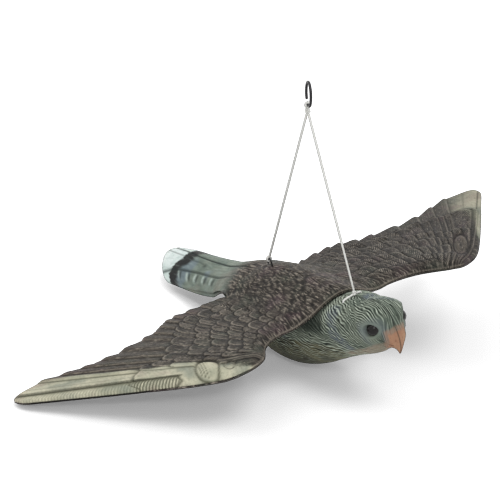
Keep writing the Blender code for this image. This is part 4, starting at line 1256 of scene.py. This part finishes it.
def mix_values(tree, share, first, second):
    """Goes from one value to another by a share."""
    return work_out(tree, "MULTIPLY_ADD", work_out(tree, "SUBTRACT", second, first), share, first)


neck_lines, breast_lines, crown_lines = (hair_lines(*field) for field in hair_fields)
carved = mix_values(tree, crown, mix_values(tree, low, neck_lines, breast_lines), crown_lines)
# Painted highlight on the crests of the carved lines and painted shade in their hollows.
highlight_and_pale_marks = multiply(tree, spread(tree, carved, 0.55, 0.90), press)
valley = multiply(tree, spread(tree, carved, 0.45, 0.10), press)
shade_and_dark_marks = larger(tree, shade_and_dark_marks, valley)
green = coats(tree, two_tone(tree, patches, 0.35, 0.65, (80, 90, 80), (114, 121, 108)),
              (blue, 0.05, 0.4, 0.7, (96, 104, 114)))
olive_paint = two_tone(tree, patches, 0.4, 0.6, (64, 62, 48), (104, 100, 76))
tan_paint = two_tone(tree, patches, 0.4, 0.6, (132, 120, 104), (160, 140, 124))
worn_olive = work_out(tree, "MULTIPLY_ADD", flecks, 0.4, olive)
worn_tan = work_out(tree, "MULTIPLY_ADD", patches, 0.9, tan)
colour = blend_colour(tree, spread(tree, worn_olive, 0.4, 0.9), green, olive_paint)
colour = blend_colour(tree, spread(tree, worn_tan, 0.6, 1.3, 0, 0.9), colour, tan_paint)
light = multiply(tree, highlight_and_pale_marks, spread(tree, strands, 0.35, 0.6, 0.45, 1.0))
cere_paint = blend_colour(tree, patches, srgb(150, 118, 100), srgb(132, 118, 104))
colour = blend_colour(tree, light, colour, srgb(184, 194, 178))
colour = blend_colour(tree, multiply(tree, shade_and_dark_marks, 0.95), colour, srgb(28, 36, 31))
colour = blend_colour(tree, multiply(tree, rim, 0.25), colour, srgb(150, 164, 150))
horn = coats(tree, two_tone(tree, patches, 0.35, 0.65, (148, 111, 89), (168, 132, 106)),
             (flecks, 0.45, 0.8, 0.5, (128, 88, 67)))
# Painted shade in the nostril and along the gape of the beak.
horn = blend_colour(tree, multiply(tree, shade_and_dark_marks, 0.9), horn, srgb(70, 42, 30))
colour = blend_colour(tree, multiply(tree, cere, 0.75), colour, cere_paint)
colour = blend_colour(tree, beak, colour, horn)
colour = blend_colour(tree, multiply(tree, seam, 0.6), colour, srgb(38, 44, 40))
tree.links.new(colour, shader.inputs["Base Color"])
tree.links.new(spread(tree, flecks, 0.3, 0.8, 0.5, 0.7), shader.inputs["Roughness"])
height = work_out(tree, "MULTIPLY_ADD", strands, 0.4, multiply(tree, carved, press))
bump(tree, shader, height, 0.0007, 0.8)
for side in (-1, 1):
    body_half(side)


# The eyes are glossy black beads, a little sunk in the dips that the brows overhang. Each is
# pushed into its half of the head.
eye_radius = 0.0060
bead, tree, shader = new_material("eye_bead", srgb(8, 7, 7), 0.07)
shader.inputs["Specular IOR Level"].default_value = 0.28
cloud = speckle(tree, object_coordinates(tree), 260, 2.0, 0.5)
tree.links.new(blend_colour(tree, cloud, srgb(4, 4, 4), srgb(20, 16, 14)), shader.inputs["Base Color"])
scuffs = speckle(tree, object_coordinates(tree), 900, 2.0, 0.5)
tree.links.new(spread(tree, scuffs, 0.3, 0.7, 0.05, 0.10), shader.inputs["Roughness"])
for side, word in ((-1, "right"), (1, "left")):
    bm = bmesh.new()
    bmesh.ops.create_icosphere(bm, subdivisions=5, radius=eye_radius)
    bm.transform(bird_place @ Matrix.Translation((bead_spot.x, side * bead_spot.y, bead_spot.z)))
    eye = finish_piece("eye_bead_" + word, bm, bead, "bird", "eye_" + word)


# The stage is a plain pale floor close under the bird, where its soft shadow falls, and a white
# surrounding, with even light from all round and a wide lamp above. The floor tilts with the bird,
# so that it never cuts through a wing.
floor_opacity = 0.86
floor_half_size = 6.0
floor_way = Vector((0.188, 0.188, 0.964))
floor_spot = Vector((0.010, -0.283, -0.003))
pale, tree, shader = new_material("pale_floor", (0.93, 0.93, 0.93, 1.0), 0.9)
# From below the floor is clear, but what is seen through it turns grey and its palest parts fade.
behind = add_node(tree, "ShaderNodeNewGeometry").outputs["Backfacing"]
opacity = work_out(tree, "MULTIPLY_ADD", behind, -floor_opacity, floor_opacity)
tree.links.new(opacity, shader.inputs["Alpha"])
bm = bmesh.new()
bmesh.ops.create_grid(bm, x_segments=1, y_segments=1, size=floor_half_size)
mesh = bpy.data.meshes.new("floor")
bm.to_mesh(mesh)
bm.free()
ground = bpy.data.objects.new("floor", mesh)
mesh.materials.append(pale)
up = (bird_place.to_3x3() @ floor_way).normalized()
floor_turn = up.to_track_quat("Z", "Y").to_matrix().to_4x4()
ground.matrix_world = Matrix.Translation(bird_place @ floor_spot) @ floor_turn
bpy.context.scene.collection.objects.link(ground)
ground.is_shadow_catcher = True
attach(ground, "bird")
ground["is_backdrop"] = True

# The surrounding looks brighter than it lights, so that the picture's ground stays white.
light_from_around, light_when_seen = 0.65, 1.0
world = bpy.data.worlds.new("surrounding")
bpy.context.scene.world = world
world.use_nodes = True
tree = world.node_tree
background = tree.nodes["Background"]
path = add_node(tree, "ShaderNodeLightPath")
mirrored = larger(tree, path.outputs["Is Glossy Ray"], path.outputs["Is Transmission Ray"])
seen = larger(tree, path.outputs["Is Camera Ray"], mirrored)
brightness = work_out(tree, "MULTIPLY_ADD", seen, light_when_seen - light_from_around, light_from_around)
tree.links.new(brightness, background.inputs["Strength"])
background.inputs["Color"].default_value = (1.0, 1.0, 1.0, 1.0)

# Lamps: strength, width in degrees, and the way from which the light comes
lamps = (("lamp", 0.90, 28, (0.20, 0.20, 1.0)), ("fill", 0.55, 45, (-0.65, -0.15, 1.0)),
         ("glint", 0.45, 6, (0.75, -0.30, 1.0)))
for name, energy, width, way in lamps:
    lamp = bpy.data.lights.new(name, "SUN")
    lamp.energy = energy
    lamp.angle = radians(width)
    lamp_object = bpy.data.objects.new(name, lamp)
    lamp_object.rotation_euler = Vector(way).to_track_quat("Z", "Y").to_euler()
    bpy.context.scene.collection.objects.link(lamp_object)

view = bpy.context.scene.view_settings
view.view_transform = "Standard"

low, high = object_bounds()
